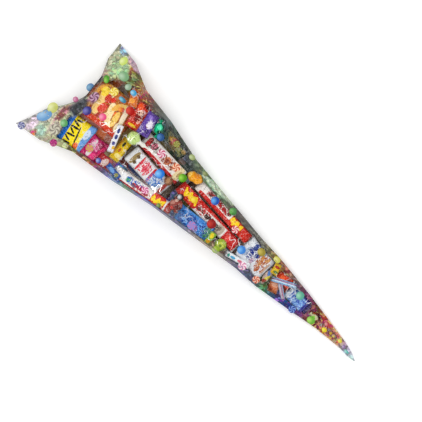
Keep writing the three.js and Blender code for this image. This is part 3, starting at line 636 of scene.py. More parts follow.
packet("caramel_wafer_bar", -3, "e6e0da", [
    (-9, 4, 3.5, 62, "c6201a", 0, 6), (3, 44, 5, 6, "5a2a26", 10, 2, 1), (2, 30, 5, 6, "6a302a", -10, 2, 1),
    (3, 16, 5, 5, "4a2420", 8, 2, 1), (2, 4, 5, 6, "7a3a32", 0, 2, 1), (3, -10, 4, 5, "5a2a24", 10, 2, 1),
    (0, -34, 13, 16, "d8301a", 0, 5), (1, -24, 6, 5, "f4c81c", -16, 3), (2, -35, 6, 4.5, "f6cc24", 14, 3),
    (1, -46, 6, 4.5, "f4c41a", 0, 3), (0, -62, 13, 13, "c4200f", 0, 5),
    (3, 20, 8, 32, "a8141c", 0, 6, 0.5, 1),
    *zigzag(-26, 4, 6, 9, 2.2, "f8d01c")], fullness=0.2)
packet("blueberry_jelly_bag", 8, "3d84cf", [
    (-2, 20, 12, 8, "7aaee6", 0, 2, 1), (8, 6, 6, 10, "2a62b0", 0, 2, 1), (-6, -6, 9, 7, "a878b8", 0, 2, 1),
    (-4, 0, 5, 4, "c04a6a", 0, 2), (4, -16, 8, 8, "5a9ade", 0, 2, 1), (2, -30, 14, 7, "4a8a6a", 0, 2, 1),
    (-10, 26, 4, 8, "2456a4", 0, 2),
    (0, 2, 14, 34, "123c8c", 0, 4, 0.5, 1)], fullness=0.5, crumple=1.4)
candy("orange_jelly_bear", 12, "eea21a", [(0, 12, 8, 4, "f8c85a", 0, 2), (4, -2, 5, 8, "d8820e", 0, 2, 1)],
      form="jelly", lobes=0.12, creases=0.3)
candy("cocoa_truffle", -50, "8a3c34", [
    (-6, 4, 6, 5, "b8786a", 0, 2, 1.5), (6, -6, 7, 5, "5a1e1c", 0, 2, 1.5), (2, 8, 4, 4, "d8b0a0", 0, 2, 1),
    (-8, -8, 4, 4, "c0302a", 0, 2, 1)], fan=5 * MM, creases=1.0)
candy("green_foil_sweet", -62, "0c9a6c", [
    (0, 4, 6, 6, "4ad0a0", 0, 2, 1), (2, -6, 6, 4, "04583c", 0, 2, 1)],
      fan=8 * MM, metallic=0.75, creases=1.2)
candy("brown_toffee_cube", 20, "7c5034", [(0, 2, 6, 4, "a87a54", 0, 2, 1)], form="jelly", creases=0.6)
candy("lime_jelly_dome", 6, "93ac2e", [(0, 0, 8, 8, "bcc84a", 0, 2), (0, 0, 3.4, 3.4, "6f8a2a", 0, 2)],
      form="jelly", creases=0.2)
packet("mini_fruit_chew", -82, "7fae34", [(0, 6, 4, 6, "e8d028", 0, 2, 1), (0, -8, 5, 4, "d8a01c", 0, 2)])
print("bars and sachets done")

# %% [markdown]
# Towards the tip the bag narrows and the sweets get smaller. Fewer marks are enough there, and a short
# packet gets narrower welds, which is what the crimp value says.

# %% The thin end
packet("white_mint_sachet", -4, "dde0e6", [
    (-4, 24, 12, 4, "a8b8cc", 8, 2, 1), (8, 16, 15, 5, "4a5e9a", 8, 3, 1.5),
    (-10, 4, 9, 4, "c09ab0", 0, 2, 1), (10, 2, 9, 4, "2a3c80", 6, 3, 1.5),
    (18, -4, 8, 6, "8a9aa8", 0, 2, 1), (4, -10, 14, 5, "c88a4a", 10, 2, 1.5),
    (12, -20, 12, 4, "d8a060", -8, 2, 1), (-12, -16, 8, 4, "b05a2a", 0, 2, 1),
    (0, -28, 16, 3, "caa48a", 0, 2, 1), (6, 12, 20, 12, "18267c", 8, 5, 0.5, 1),
    (4, -14, 20, 12, "a0481a", 10, 5, 0.5, 1)],
    fullness=0.25)
packet("sherbet_stick", 16, "e4e8ec", [
    (0, 10, 3, 6, "4aa0c8", 0, 2), (0, -6, 3, 6, "d86a80", 0, 2), (0, 20, 4, 3, "3a9a8a", 0, 2)])
candy("red_swirl_mint", -84, "b8a094", [
    (-1, 8, 3, 6, "4a7ac0", 20, 3, 1), (2, -2, 3, 8, "d8c83a", -24, 3, 1),
    (0, -10, 4, 4, "9a3a2a", 20, 3, 1)])
packet("lemon_chew", -78, "d8b018", [
    (0, 4, 6, 3, "a8341a", 0, 2, 1), (2, -6, 5, 3, "5a7a2a", 0, 2, 1)], crimp=3 * MM)
packet("orange_drop_left", -72, "dc7a4a", [
    (2, 4, 7, 5, "e8a88a", 0, 2, 1), (-4, -6, 6, 4, "b04a2a", 0, 2, 1)], crimp=4 * MM)
packet("orange_drop_right", 6, "e2401a", [
    (0, 6, 7, 5, "f4622e", 0, 2, 1), (4, -8, 6, 4, "a8240e", 0, 2, 1)], crimp=4 * MM)
packet("pale_blue_chew_pack", -2, "78a4d8", [
    (0, 21, 20, 4, "d0dcea", 6, 4, 1), (-6, 8, 7, 8, "98bce4", 0, 2, 1), (8, 2, 6, 9, "5a8cd0", 0, 2, 1),
    (-2, -10, 8, 6, "86b4ea", 0, 2, 1), (0, -22, 20, 5, "3a3a92", 0, 4, 1),
    (14, -14, 4, 12, "4a3a8a", 0, 2, 1), (0, 0, 14, 18, "3a5cb8", 0, 4, 0.5, 1)],
    fullness=0.25, crimp=4 * MM)
candy("cherry_sweet", 6, "7c2414", [(0, 4, 4, 3, "c8602a", 0, 2, 1), (2, -6, 3, 4, "4a120c", 0, 2, 1)])
candy("pale_lime_sweet", -4, "c4c094", [(0, 3, 5, 4, "8cc84a", 0, 2, 1), (0, -8, 4, 4, "9a5a4a", 0, 2, 1)])
candy("candy_stripe_sweet", 10, "d8cfc8", [
    (0, 5, 8, 1.4, "b82a2e", 30, 4), (0, 0, 8, 1.4, "c02e30", 30, 4), (0, -5, 8, 1.4, "b82a2e", 30, 4)])
candy("caramel_drop", 0, "a06a58", [(0, 2, 3, 3, "d8b428", 0, 2, 1)], form="jelly")
candy("rose_drop", 0, "b08a80", [(0, 2, 2.4, 2.4, "e0cf50", 0, 2, 1)], form="jelly")
print("thin end done")

# %% [markdown]
# The lolly keeps its shape from three parts that the ring stations trace in one go: the ball, the neck
# where the film is gathered, and the paper stick.

# %% The lolly and the sour belts
def lolly(node, degrees):
    matrix, width, length, _ = own_frame(node, degrees)
    ball = width / 2
    half = length / 2
    stations = [
        (-half, 1.8 * MM, 1.8 * MM),
        (half - 3.0 * ball, 2 * MM, 2 * MM),
        (half - 2.9 * ball, 5.2 * MM, 3.6 * MM),
        (half - 2.25 * ball, 3.6 * MM, 3.6 * MM),
    ]
    for step in range(8):
        angle = math.pi * (0.86 - 0.86 * step / 7)
        radius = ball * max(math.sin(angle), 0.02)
        stations.append((half - ball + ball * math.cos(angle), radius, radius))
    piece = ringed(node + "_wrapped", matrix, stations, folds=7, fold_depth=0.05)
    finished(piece, wrapper(node + "_print", "e8e6dc", [
        (0, (half - ball) * 1000, ball * 1010, ball * 1010, "98c048", 0, 2, 0.3),
        (0, (half - ball) * 1000, ball * 1010, ball * 1010, "c4dc88", 0, 2, 0.3, 0.2),
        (-3, (half - ball) * 1000 + 4, 5, 4, "d4e49a", 0, 2, 1)], length * 1000, creases=0.4), node)


lolly("green_apple_lolly", 8)
for belt, degrees, code, light in (
    ("blue_sour_belt", 28, "6d9cc4", "c4d8e8"),
    ("grey_sour_belt", -38, "8a98b0", "c8b8c0"),
):
    matrix, width, length, height = own_frame(belt, degrees)
    piece = flow_pack(belt + "_strip", matrix, width, length, height, 0.1, 1 * MM, 0.4)
    stripes = [(-1, 0, 1.2, 30, light, 0, 6, 1), (2, 0, 0.8, 30, "b0506a", 0, 6, 1)]
    finished(piece, wrapper(belt + "_sugar", code, stripes, length * 1000, creases=1.4), belt)
print("lolly and belts done")

# %% [markdown]
# The layers below show only as slivers between the top ones. They are the same kinds of packets, in
# plainer prints.

# %% The layers below
packet("popcorn_bag", 0, "c8a45a", [
    (0, 20, 40, 14, "a8381e", 0, 3, 1), (20, -20, 20, 14, "e8d48a", 0, 2, 1)], crumple=1.5)
packet("marshmallow_bag", 2, "a86a5a", [
    (-10, 20, 22, 14, "5a4a6a", 0, 2, 2), (6, -14, 24, 12, "c86a3a", 0, 2, 2)])
packet("cracker_bag", -2, "b0521e", [
    (16, 18, 18, 12, "6a4a2a", 0, 2, 2), (20, -20, 16, 12, "7a2a12", 0, 2, 2)])
packet("hidden_wafer_bar", -2, "8a3a34", [
    (-6, 20, 6, 20, "3a4a8a", 0, 3, 1), (-6, -24, 6, 20, "c83a2a", 0, 3, 1)])
packet("nougat_bar", 0, "7a5034", [(0, 0, 9, 40, "c8a87a", 0, 3, 1)])
packet("biscuit_roll", 2, "2e4a2c", [(6, 16, 7, 18, "7a6a3a", 0, 3, 1), (6, -26, 7, 16, "8a5a34", 0, 3, 1)])
packet("raisin_bar", -1, "6a5a4a", [(-8, 10, 6, 30, "a83a34", 0, 3, 1)])
packet("caramel_bar", 1, "5a3a22", [(10, 0, 5, 40, "8a6a34", 0, 3, 1)])
packet("peanut_bag", 1, "7a4028", [(-22, 20, 10, 24, "3a5a9a", 0, 2, 2), (24, 0, 8, 40, "8a9a7a", 0, 2, 2)])
packet("sour_strip_bag", 1, "6a6a34", [(-8, 10, 8, 20, "4a7a4a", 0, 2, 2)])
packet("cola_chew", -1, "5a3a2a", [(8, 20, 6, 20, "b8c8b0", 0, 2, 2), (8, -20, 6, 16, "3a7a3a", 0, 2, 2)])
packet("chew_bar_pack", 0, "4a4a5a", [
    (-16, 10, 8, 24, "5a7ab0", 0, 2, 2), (16, -10, 8, 24, "6a4a34", 0, 2, 2)])
packet("jelly_bean_bag", 0, "8a6a5a", [(-12, 10, 8, 16, "3a5a9a", 0, 2, 2)])
candy("toffee_left", 3, "7a6a3a", [(0, -10, 6, 10, "4a8a3a", 0, 2, 1)], fan=12 * MM)
candy("toffee_right", -3, "8a5a4a", [(0, 0, 8, 6, "b87a3a", 0, 2, 1)], fan=12 * MM)
packet("liquorice_bar", 0, "5a3a3a", [(0, 4, 8, 16, "a83a2a", 0, 2, 1)])
packet("fizz_sachet", 0, "6a5a9a", [(0, 0, 8, 10, "9a8ac8", 0, 2, 1)])
undressed = [n for n in nodes if n != "film_bag" and not nodes[n].hide_render]
print("undressed nodes:", undressed)

# %% [markdown]
# The film is the bag itself: thin, clear, stretched over the sweets and creased at its mouth. Its
# outline is the one that the CAD model uses, so the same sizes come back here: the flat cut, how far the
# filling rounds it, and how its mouth slants. They are in millimetres from the tip.

# %% The bag's outline
BAG_LENGTH, MOUTH_WIDTH, TIP_WIDTH = 798, 262, 9
MOUTH_SLANT, MOUTH_DIP = 37, 20
# How the bag lies: share of its length, how far its middle is off to the side, and how much narrower it
# is than flat.
LIE = ((0, 0, 0.1), (0.05, 6, 0.25), (0.13, 8, 0.23), (0.2, 7, 0.16), (0.31, 5, 0.155), (0.38, 5, 0.245),
       (0.64, 1, 0.245), (0.75, 1, 0.16), (0.86, -1, 0.155), (0.93, -4, 0), (1, -6, 0))
MOUTH_LIFT, EAR_DROOP, OPENING, FLAT_SHARE, SIDE_SEAM_RISE = 30, 22, 0.86, 0.62, 0.42
FOLD_BACK = 23  # how far the middle of the mouth is folded back under itself
ROWS, COLUMNS = 190, 56
TIP_RISE, MOUTH_RISE = 60, 12  # lengths over which the folds grow, from the tip and from the mouth


def step_between(low, high, value):
    t = max(0.0, min(1.0, (value - low) / (high - low)))
    return t * t * (3 - 2 * t)


def lie_of(y):
    share = max(0.0, min(1.0, y / BAG_LENGTH))
    for low, high in zip(LIE, LIE[1:]):
        if share <= high[0]:
            t = (share - low[0]) / (high[0] - low[0])
            return low[1] + (high[1] - low[1]) * t, low[2] + (high[2] - low[2]) * t
    return LIE[-1][1:]


def half_width(y):
    flat = (TIP_WIDTH + (MOUTH_WIDTH - TIP_WIDTH) * y / BAG_LENGTH) / 2
    return flat * (1 - lie_of(y)[1]) * math.sqrt(max(0.02, min(1, y / (2 * TIP_WIDTH))))


def row_y(row):
    """How far a row of the film's grid lies from the tip, on the flat bag."""
    return (row / ROWS) ** 0.96 * BAG_LENGTH


def column_side(column):
    """Where a column lies across the film, from -1 at the left weld to 1 at the right one."""
    return math.sin(math.pi / 2 * (2 * column / COLUMNS - 1))


def film_place(y, side):
    lean = step_between(0.72 * BAG_LENGTH, BAG_LENGTH, y)
    edge = -side * MOUTH_SLANT / 2 - (1 - side * side) * MOUTH_DIP + MOUTH_DIP * 0.25
    folded = FOLD_BACK * max(0.0, 1 - ((side - 0.1) / 0.62) ** 2) ** 1.3
    back = folded * step_between(0.9, 1, y / BAG_LENGTH)
    return lie_of(y)[0] + side * half_width(y), y + lean * edge - back


def under_height(y, side):
    opening = step_between(OPENING * BAG_LENGTH, BAG_LENGTH, y)
    lift = (MOUTH_LIFT - EAR_DROOP * side * side) * opening
    rise = SIDE_SEAM_RISE * half_width(y) * (1 - opening)
    flat = FLAT_SHARE * (1 - opening)
    turn = max(0.0, min(1.0, (abs(side) - flat) / (1 - flat)))
    return lift + rise * turn**2


raw_left = min(film_place(BAG_LENGTH * r / 60, -1)[0] for r in range(61))
RAW_X = cad_low.x / MM - raw_left
RAW_Y = cad_low.y / MM
print("film offset", round(RAW_X, 2), round(RAW_Y, 2))

# %% [markdown]
# Each point of the upper sheet drops onto the sweets from above. The sheet is then drawn tight: again
# and again a point takes the mean of its neighbours, but never sinks into a sweet, so the film bridges
# the hollows as the real one does. Last come the folds, which are deepest where the bag was gathered to
# be sealed.

# %% Draw the film over the sweets
import numpy as np

DOWN = Vector((0, 0, -1))
ABOVE_ALL = 0.3  # metres: a height that nothing in the scene reaches
CLEARANCE = 1.0  # millimetres between a sweet and the film over it
LEAST_ROOM = 0.3  # millimetres between the film's two sheets where the bag is empty
RELAX_TURNS = 900


def tree_of(objects):
    points, faces = [], []
    for o in objects:
        start = len(points)
        points.extend(v.co.copy() for v in o.data.vertices)
        faces.extend([start + i for i in p.vertices] for p in o.data.polygons)
    return BVHTree.FromPolygons(points, faces)


sweets = tree_of([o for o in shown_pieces() if o.name != "film_bag"])
place_x = np.zeros((ROWS + 1, COLUMNS + 1))
place_y = np.zeros_like(place_x)
under = np.zeros_like(place_x)
over = np.zeros_like(place_x)
for row in range(ROWS + 1):
    flat_y = row_y(row)
    for column in range(COLUMNS + 1):
        side = column_side(column)
        x, y = film_place(flat_y, side)
        place_x[row, column], place_y[row, column] = x + RAW_X, y + RAW_Y
        under[row, column] = under_height(flat_y, side)
        above = Vector(((x + RAW_X) * MM, (y + RAW_Y) * MM, ABOVE_ALL))
        hit = sweets.ray_cast(above, DOWN)[0]
        over[row, column] = (hit.z / MM + CLEARANCE) if hit else 0
base = under + LEAST_ROOM
obstacle = np.maximum(over, base)
spread = obstacle.copy()
for dr in (-1, 0, 1):
    for dc in (-1, 0, 1):
        beside = obstacle[1 + dr : ROWS + dr, 1 + dc : COLUMNS + dc]
        spread[1:-1, 1:-1] = np.maximum(spread[1:-1, 1:-1], beside)
spread[:, :2], spread[:, -2:], spread[:2], spread[-2:] = base[:, :2], base[:, -2:], base[:2], base[-2:]
sheet = spread.copy()
gap_x = np.maximum(np.diff(place_x, axis=1), 0.05)
gap_y = BAG_LENGTH / ROWS
west, east = 1 / gap_x[1:-1, :-1], 1 / gap_x[1:-1, 1:]
length_pull = (gap_x[1:-1, :-1] + gap_x[1:-1, 1:]) / 2 / gap_y**2
for turn in range(RELAX_TURNS):
    mean = sheet[1:-1, :-2] * west + sheet[1:-1, 2:] * east
    mean += (sheet[:-2, 1:-1] + sheet[2:, 1:-1]) * length_pull
    mean /= west + east + 2 * length_pull
    sheet[1:-1, 1:-1] = np.maximum(mean, spread[1:-1, 1:-1])
print("film sheet", sheet.shape, "highest", round(float(sheet.max()), 1), "mm")

# %% [markdown]
# A real film keeps the folds that it got when the bag was filled and sealed. Two ridged noises stand in
# for them: one all over the bag, and one at the mouth, drawn out along the bag like gathers. Noise is
# quicker than a simulated cloth and gives the same folds each time.

# %% Folds of the film
for row in range(2, ROWS - 1):
    flat_y = row_y(row)
    mouth = step_between(690, 770, flat_y)
    for column in range(2, COLUMNS - 1):
        side = column_side(column)
        edge = min(1, (1 - abs(side)) * 6)
        edge *= min(1, (BAG_LENGTH - flat_y) / MOUTH_RISE) * min(1, flat_y / TIP_RISE)
        here = Vector((place_x[row, column] / 26, place_y[row, column] / 60, 0))
        crease = noise.ridged_multi_fractal(here, 1.0, 2.0, 3, 1.0, 2.0) - 1
        fan = noise.ridged_multi_fractal(Vector((side * 7, flat_y / 150, 3)), 1.0, 2.0, 3, 1.0, 2.0) - 1
        sheet[row, column] += edge * max(0, 0.9 + 0.6 * crease + mouth * (2 + 2.6 * fan))
sheet = np.maximum(sheet, base)
print("folded film, highest", round(float(sheet.max()), 1), "mm")

# %% [markdown]
# Beside the sweets the film shows its own print. Its inks change along the bag and from the left edge to
# the right one, so they are given as a short table. The dark greens, browns and blues along the middle of
# the bag are partly that print and partly painted shade, where the bag's dim inside shows at its sides. The
# larger areas that differ are patches laid over it.

# %% The film's own print
# Distance from the tip, ink at the left edge, ink at the right edge. The dark rows in the middle are partly
# print and partly painted shade of the bag's dim inside.
EDGE_INKS_AND_SHADE = (
    (0, "a0c4b4", "a8b8c0"), (30, "9cb0c8", "b098b8"), (52, "c07838", "a8642c"), (95, "80281c", "8c2018"),
    (125, "6a3430", "5c1a0c"), (165, "382a78", "5a2848"), (200, "2c2c80", "5c4440"),
    (235, "1c6a24", "8c301c"), (260, "3c3c60", "6a5a1c"), (300, "1c2c64", "504e40"),
    (345, "5a4a34", "38322c"), (390, "8a7058", "2c221c"), (430, "3c4a70", "5a7a4c"),
    (480, "1c2448", "4a5a34"), (530, "1422a0", "38382a"), (570, "3c6a1c", "242c20"),
    (610, "2a58a4", "143424"), (650, "8a3c34", "48301c"), (680, "7a5a3c", "9a4a20"),
    (710, "6a6a3c", "4a5a2c"), (735, "b4b084", "94683c"), (755, "bab68e", "88946c"),
    (780, "b8bca0", "a0a482"), (798, "bcbcac", "94acb0"),
)

# Patches of that print, and one of painted shade: middle x and y, half sizes, ink, and how far they hide
# what is below.
INK_AND_SHADE_PATCHES = (
    # The dark grey patch at x -24, y 752 is painted shade: the deep fold in the middle of the mouth.
    (-55, 767, 26, 9, "7c4a4c", 0.9), (-24, 752, 26, 15, "34383c", 0.9), (-112, 797, 22, 10, "d0bcc8", 1),
    (-88, 757, 18, 14, "b8ac98", 1), (-112, 775, 14, 12, "a8ccb0", 1), (118, 722, 12, 34, "b894a8", 1),
    (86, 745, 22, 20, "9cb884", 1), (58, 768, 12, 16, "b09478", 1), (122, 768, 12, 10, "8ca8d0", 1),
    (-128, 782, 14, 6, "a83a34", 1), (8, 742, 14, 10, "8c6880", 0.7), (20, 764, 34, 9, "5c5844", 0),
    (53, 438, 6, 48, "b4c8a8", 0.9), (60, 566, 9, 15, "9c5c2c", 0.9),
)


def patch_reach(patch, x, y):
    return max(0.0, 1 - ((x - patch[0]) / patch[2]) ** 2 - ((y - patch[1]) / patch[3]) ** 2)


def film_ink_and_shade(x, y, side):
    for low, high in zip(EDGE_INKS_AND_SHADE, EDGE_INKS_AND_SHADE[1:]):
        if y <= high[0]:
            break
    t = (y - low[0]) / (high[0] - low[0])
    across = (side + 1) / 2
    mixed = []
    for a, b, c, d in zip(colour(low[1]), colour(low[2]), colour(high[1]), colour(high[2])):
        mixed.append((a + (b - a) * across) * (1 - t) + (c + (d - c) * across) * t)
    hidden = 0.0
    for patch in INK_AND_SHADE_PATCHES:
        share = min(1.0, 3 * patch_reach(patch, x, y))
        mixed = [old + (new - old) * share for old, new in zip(mixed, colour(patch[4]))]
        hidden = max(hidden, patch[5] * share)
    return mixed, hidden


print("film's print:", len(EDGE_INKS_AND_SHADE), "rows of inks,", len(INK_AND_SHADE_PATCHES), "patches")

# %% [markdown]
# The film is one closed mesh, made from a grid and a flipped copy of it. The first takes the heights of the
# drawn sheet and the second those of the bag's underside, and merging their common rim welds them together.
# Each point also stores how far print covers it and in which ink, for the material to read. At the sides
# the dark inks are partly painted shade.

# %% Make the film's mesh
deselect()
bpy.ops.mesh.primitive_grid_add(x_subdivisions=COLUMNS, y_subdivisions=ROWS, size=1)
film = bpy.context.object
film.name = "film_skin"
bpy.ops.object.mode_set(mode="EDIT")
bpy.ops.mesh.select_all(action="SELECT")
bpy.ops.mesh.duplicate()
bpy.ops.mesh.flip_normals()
bpy.ops.object.mode_set(mode="OBJECT")
count = (ROWS + 1) * (COLUMNS + 1)
cover = film.data.color_attributes.new("print_and_shade_cover", "FLOAT_COLOR", "POINT")
ink = film.data.color_attributes.new("print_and_shade_ink", "FLOAT_COLOR", "POINT")
for index, vertex in enumerate(film.data.vertices):
    row, column = divmod(index % count, COLUMNS + 1)
    heights = sheet if index < count else under
    if index >= count and (row in (0, ROWS) or column in (0, COLUMNS)):
        heights = sheet
    vertex.co = (place_x[row, column] * MM, place_y[row, column] * MM, heights[row, column] * MM)
    depth = sheet[row, column] - over[row, column]
    side = column_side(column)
    flat_y = row_y(row)
    empty = 1.0 if over[row, column] == 0 else 0.0
    # Near the sides, where the film stands far above the sweets, and at the welds, the dark edge inks cover
    # the film. There they are partly print and partly painted shade of the bag's inside.
    hollow_print_and_shade = step_between(18, 45, depth) * 0.85 * step_between(0.5, 0.8, abs(side))
    weld = step_between(0.9, 0.98, abs(side))
    mouth = step_between(0.985, 0.995, row / ROWS)
    inks, hidden = film_ink_and_shade(place_x[row, column] - RAW_X, place_y[row, column] - RAW_Y, side)
    tip = 0.85 * (1 - step_between(25, 55, flat_y))
    amount = max(empty, hollow_print_and_shade, hidden, weld, tip, mouth)
    cover.data[index].color = (amount, amount, amount, 1)
    ink.data[index].color = inks
bpy.ops.object.mode_set(mode="EDIT")
bpy.ops.mesh.select_all(action="SELECT")
bpy.ops.mesh.remove_doubles(threshold=0.00001)
bpy.ops.mesh.normals_make_consistent(inside=False)
bpy.ops.object.mode_set(mode="OBJECT")
bpy.ops.object.shade_smooth()
print("film:", len(film.data.polygons), "faces")

# %% [markdown]
# A clear film shows in two ways: it mirrors a few percent of the lamps, and more of them at a slant. Mixed
# by Alpha, a polished white metal does just that: it lets the sweets through and keeps the sparkle. Where
# the film hangs free of the sweets, at the sides and in the ears, its own print hides what lies behind:
# small patches in many inks, parted by crumpled lines. At the sides the dark inks are partly painted shade.
# White lines along the folds are painted highlights, and so are the glints, thin broken lines that stay
# bright all over the film.

# %% The film's inks
def build_ink_group():
    group, given, out = new_group(
        "film_inks_and_sheen",
        [("Place", "NodeSocketVector", (0, 0, 0)), ("Ink", "NodeSocketColor", (1, 1, 1, 1))],
        [("Color", "NodeSocketColor"), ("Crumple And Sheen", "NodeSocketFloat"), ("Glint", "NodeSocketFloat")],
    )
    place, ink = given.outputs["Place"], given.outputs["Ink"]
    warp = node_in(group, "ShaderNodeTexNoise", {"Vector": place, "Scale": 90, "Detail": 2})
    warped = {0: warp.outputs["Color"], "Scale": 0.012}
    bend = node_in(group, "ShaderNodeVectorMath", warped, operation="SCALE").outputs[0]
    moved = node_in(group, "ShaderNodeVectorMath", {0: place, 1: bend}, operation="ADD").outputs[0]

    # Patches of the ink, each a little different, and some much more vivid.
    patches = node_in(group, "ShaderNodeTexVoronoi", {"Vector": moved, "Scale": 150})
    chance = node_in(group, "ShaderNodeSeparateColor", {"Color": patches.outputs["Color"]}).outputs
    shifted = node_in(group, "ShaderNodeHueSaturation", {
        "Color": ink,
        "Hue": math_node(group, "MULTIPLY_ADD", chance[0], 0.14, 0.43),
        "Saturation": 1.15,
        "Value": math_node(group, "MULTIPLY_ADD", chance[1], 1.5, 0.4),
    })
    tone = node_in(group, "ShaderNodeSeparateColor", {"Color": ink}, mode="HSV")
    lightness = math_node(group, "MULTIPLY_ADD", tone.outputs[2], 4, -0.9, clamp=True)
    vivid = node_in(group, "ShaderNodeHueSaturation", {
        "Color": ink,
        "Hue": math_node(group, "MULTIPLY_ADD", chance[0], 0.13, 0.48),
        "Saturation": 0.85,
        "Value": math_node(group, "MULTIPLY_ADD", lightness, -3.8, 4.5),
    })
    picked = math_node(group, "MULTIPLY", math_node(group, "GREATER_THAN", chance[2], 0.78), 0.6)
    patched = mix_colours(group, picked, shifted.outputs["Color"], vivid.outputs["Color"])

    # Dark lines between the patches and dark strokes over them.
    borders = node_in(
        group, "ShaderNodeTexVoronoi", {"Vector": moved, "Scale": 150}, feature="DISTANCE_TO_EDGE"
    )
    border = math_node(group, "LESS_THAN", borders.outputs["Distance"], 0.04)
    strokes = node_in(group, "ShaderNodeTexNoise", {"Vector": moved, "Scale": 240, "Detail": 2})
    stroke = math_node(group, "MULTIPLY_ADD", strokes.outputs[0], -12, 5.3, clamp=True)
    darkness = (math_node(group, "MULTIPLY", border, 0.4), math_node(group, "MULTIPLY", stroke, 0.6))
    lined = mix_colours(group, math_node(group, "MAXIMUM", *darkness), patched, colour("2c2c30"))

    # White curls of print, and white lines along the folds, which are painted highlights.
    folds = node_in(
        group, "ShaderNodeTexNoise", {"Vector": place, "Scale": 80, "Detail": 4},
        noise_type="RIDGED_MULTIFRACTAL",
    )
    fold = math_node(group, "MULTIPLY_ADD", folds.outputs[0], 3.6, -2.9, clamp=True)
    folded = math_node(group, "MULTIPLY", fold, math_node(group, "MULTIPLY_ADD", lightness, 0.4, 0.15))
    curled_place = {"Vector": place, "Scale": 130, "Detail": 1, "Distortion": 1.6}
    curls = node_in(group, "ShaderNodeTexNoise", curled_place)
    turns = math_node(group, "FRACT", math_node(group, "MULTIPLY", curls.outputs[0], 9))
    off_ring = math_node(group, "ABSOLUTE", math_node(group, "SUBTRACT", turns, 0.5))
    curl = math_node(group, "MULTIPLY_ADD", off_ring, -7, 1.3, clamp=True)
    curled = math_node(group, "MULTIPLY", curl, math_node(group, "MULTIPLY_ADD", lightness, 0.5, 0.08))
    inked = mix_colours(group, math_node(group, "MAXIMUM", folded, curled), lined, colour("f4f4f0"))

    # Glints: thin lines where one noise crosses its mean, broken up by a second noise.
    creased_place = {"Vector": place, "Scale": 42, "Detail": 1, "Distortion": 0.4}
    creases = node_in(group, "ShaderNodeTexNoise", creased_place)
    beside = math_node(group, "ABSOLUTE", math_node(group, "SUBTRACT", creases.outputs[0], 0.5))
    line = math_node(group, "MULTIPLY_ADD", beside, -70, 1.3, clamp=True)
    shine = node_in(group, "ShaderNodeTexNoise", {"Vector": place, "Scale": 28, "Detail": 0})
    broken = math_node(group, "MULTIPLY_ADD", shine.outputs[0], 9, -4.6, clamp=True)
    glint = math_node(group, "MULTIPLY", line, broken)
    set_inputs(group, out, {"Color": inked, "Crumple And Sheen": fold, "Glint": glint})
    return group


FILM_INKS_AND_SHEEN = build_ink_group()
print(FILM_INKS_AND_SHEEN.name, len(FILM_INKS_AND_SHEEN.nodes), "nodes")

# %% [markdown]
# The material reads both stored layers. Where no print covers it, the film is a polished metal whose Alpha
# is a few percent, raised at a slant, and raised further along the crumples and the glints, where it
# mirrors the white sky as painted highlights. Where print covers it, it is plain ink and nearly opaque.

# %% The clear film's material
film_material, tree, shader = principled("clear_film")
place = tree.nodes.new("ShaderNodeTexCoord").outputs["Object"]
slant = node_in(tree, "ShaderNodeLayerWeight", {"Blend": 0.25}).outputs["Fresnel"]
covered = node_in(tree, "ShaderNodeVertexColor", {}, layer_name="print_and_shade_cover").outputs["Color"]
print_and_shade_ink = node_in(tree, "ShaderNodeVertexColor", {}, layer_name="print_and_shade_ink").outputs["Color"]
inked = node_in(tree, "ShaderNodeGroup", {"Place": place, "Ink": print_and_shade_ink}, node_tree=FILM_INKS_AND_SHEEN).outputs
printed = math_node(tree, "MULTIPLY", covered, 4.0, clamp=True)
mirrored = math_node(tree, "MULTIPLY_ADD", slant, 0.06, 0.003)
# Glints and crumples raise Alpha, so the white metal mirrors the sky there: painted highlights.
glinting = math_node(tree, "MULTIPLY_ADD", inked["Glint"], 0.5, mirrored)
clear = math_node(tree, "MULTIPLY_ADD", inked["Crumple And Sheen"], 0.05, glinting)
bump = node_in(tree, "ShaderNodeBump", {"Strength": 0.5, "Distance": 0.002, "Height": inked["Crumple And Sheen"]})
set_inputs(tree, shader, {
    "Base Color": mix_colours(tree, printed, (1, 1, 1, 1), inked["Color"]),
    "Metallic": math_node(tree, "SUBTRACT", 1.0, printed),
    "Roughness": 0.16,
    "Specular IOR Level": 0.1,
    "Alpha": math_node(tree, "MAXIMUM", clear, math_node(tree, "MULTIPLY", covered, 0.93)),
    "Normal": bump.outputs[0],
})
finished(film, film_material, "film_bag")
print("film dressed")

# %% [markdown]
# The film is printed all over with round sweets. Each print is a small disc that follows the film's
# surface. Its two inks are stored on the disc itself, so one material serves all the swirls and another
# all the plain balls.

# %% Print the balls and swirls
PRINT_LIFT = 0.3 * MM  # how far a print lies above the film
film_tree = tree_of([film])


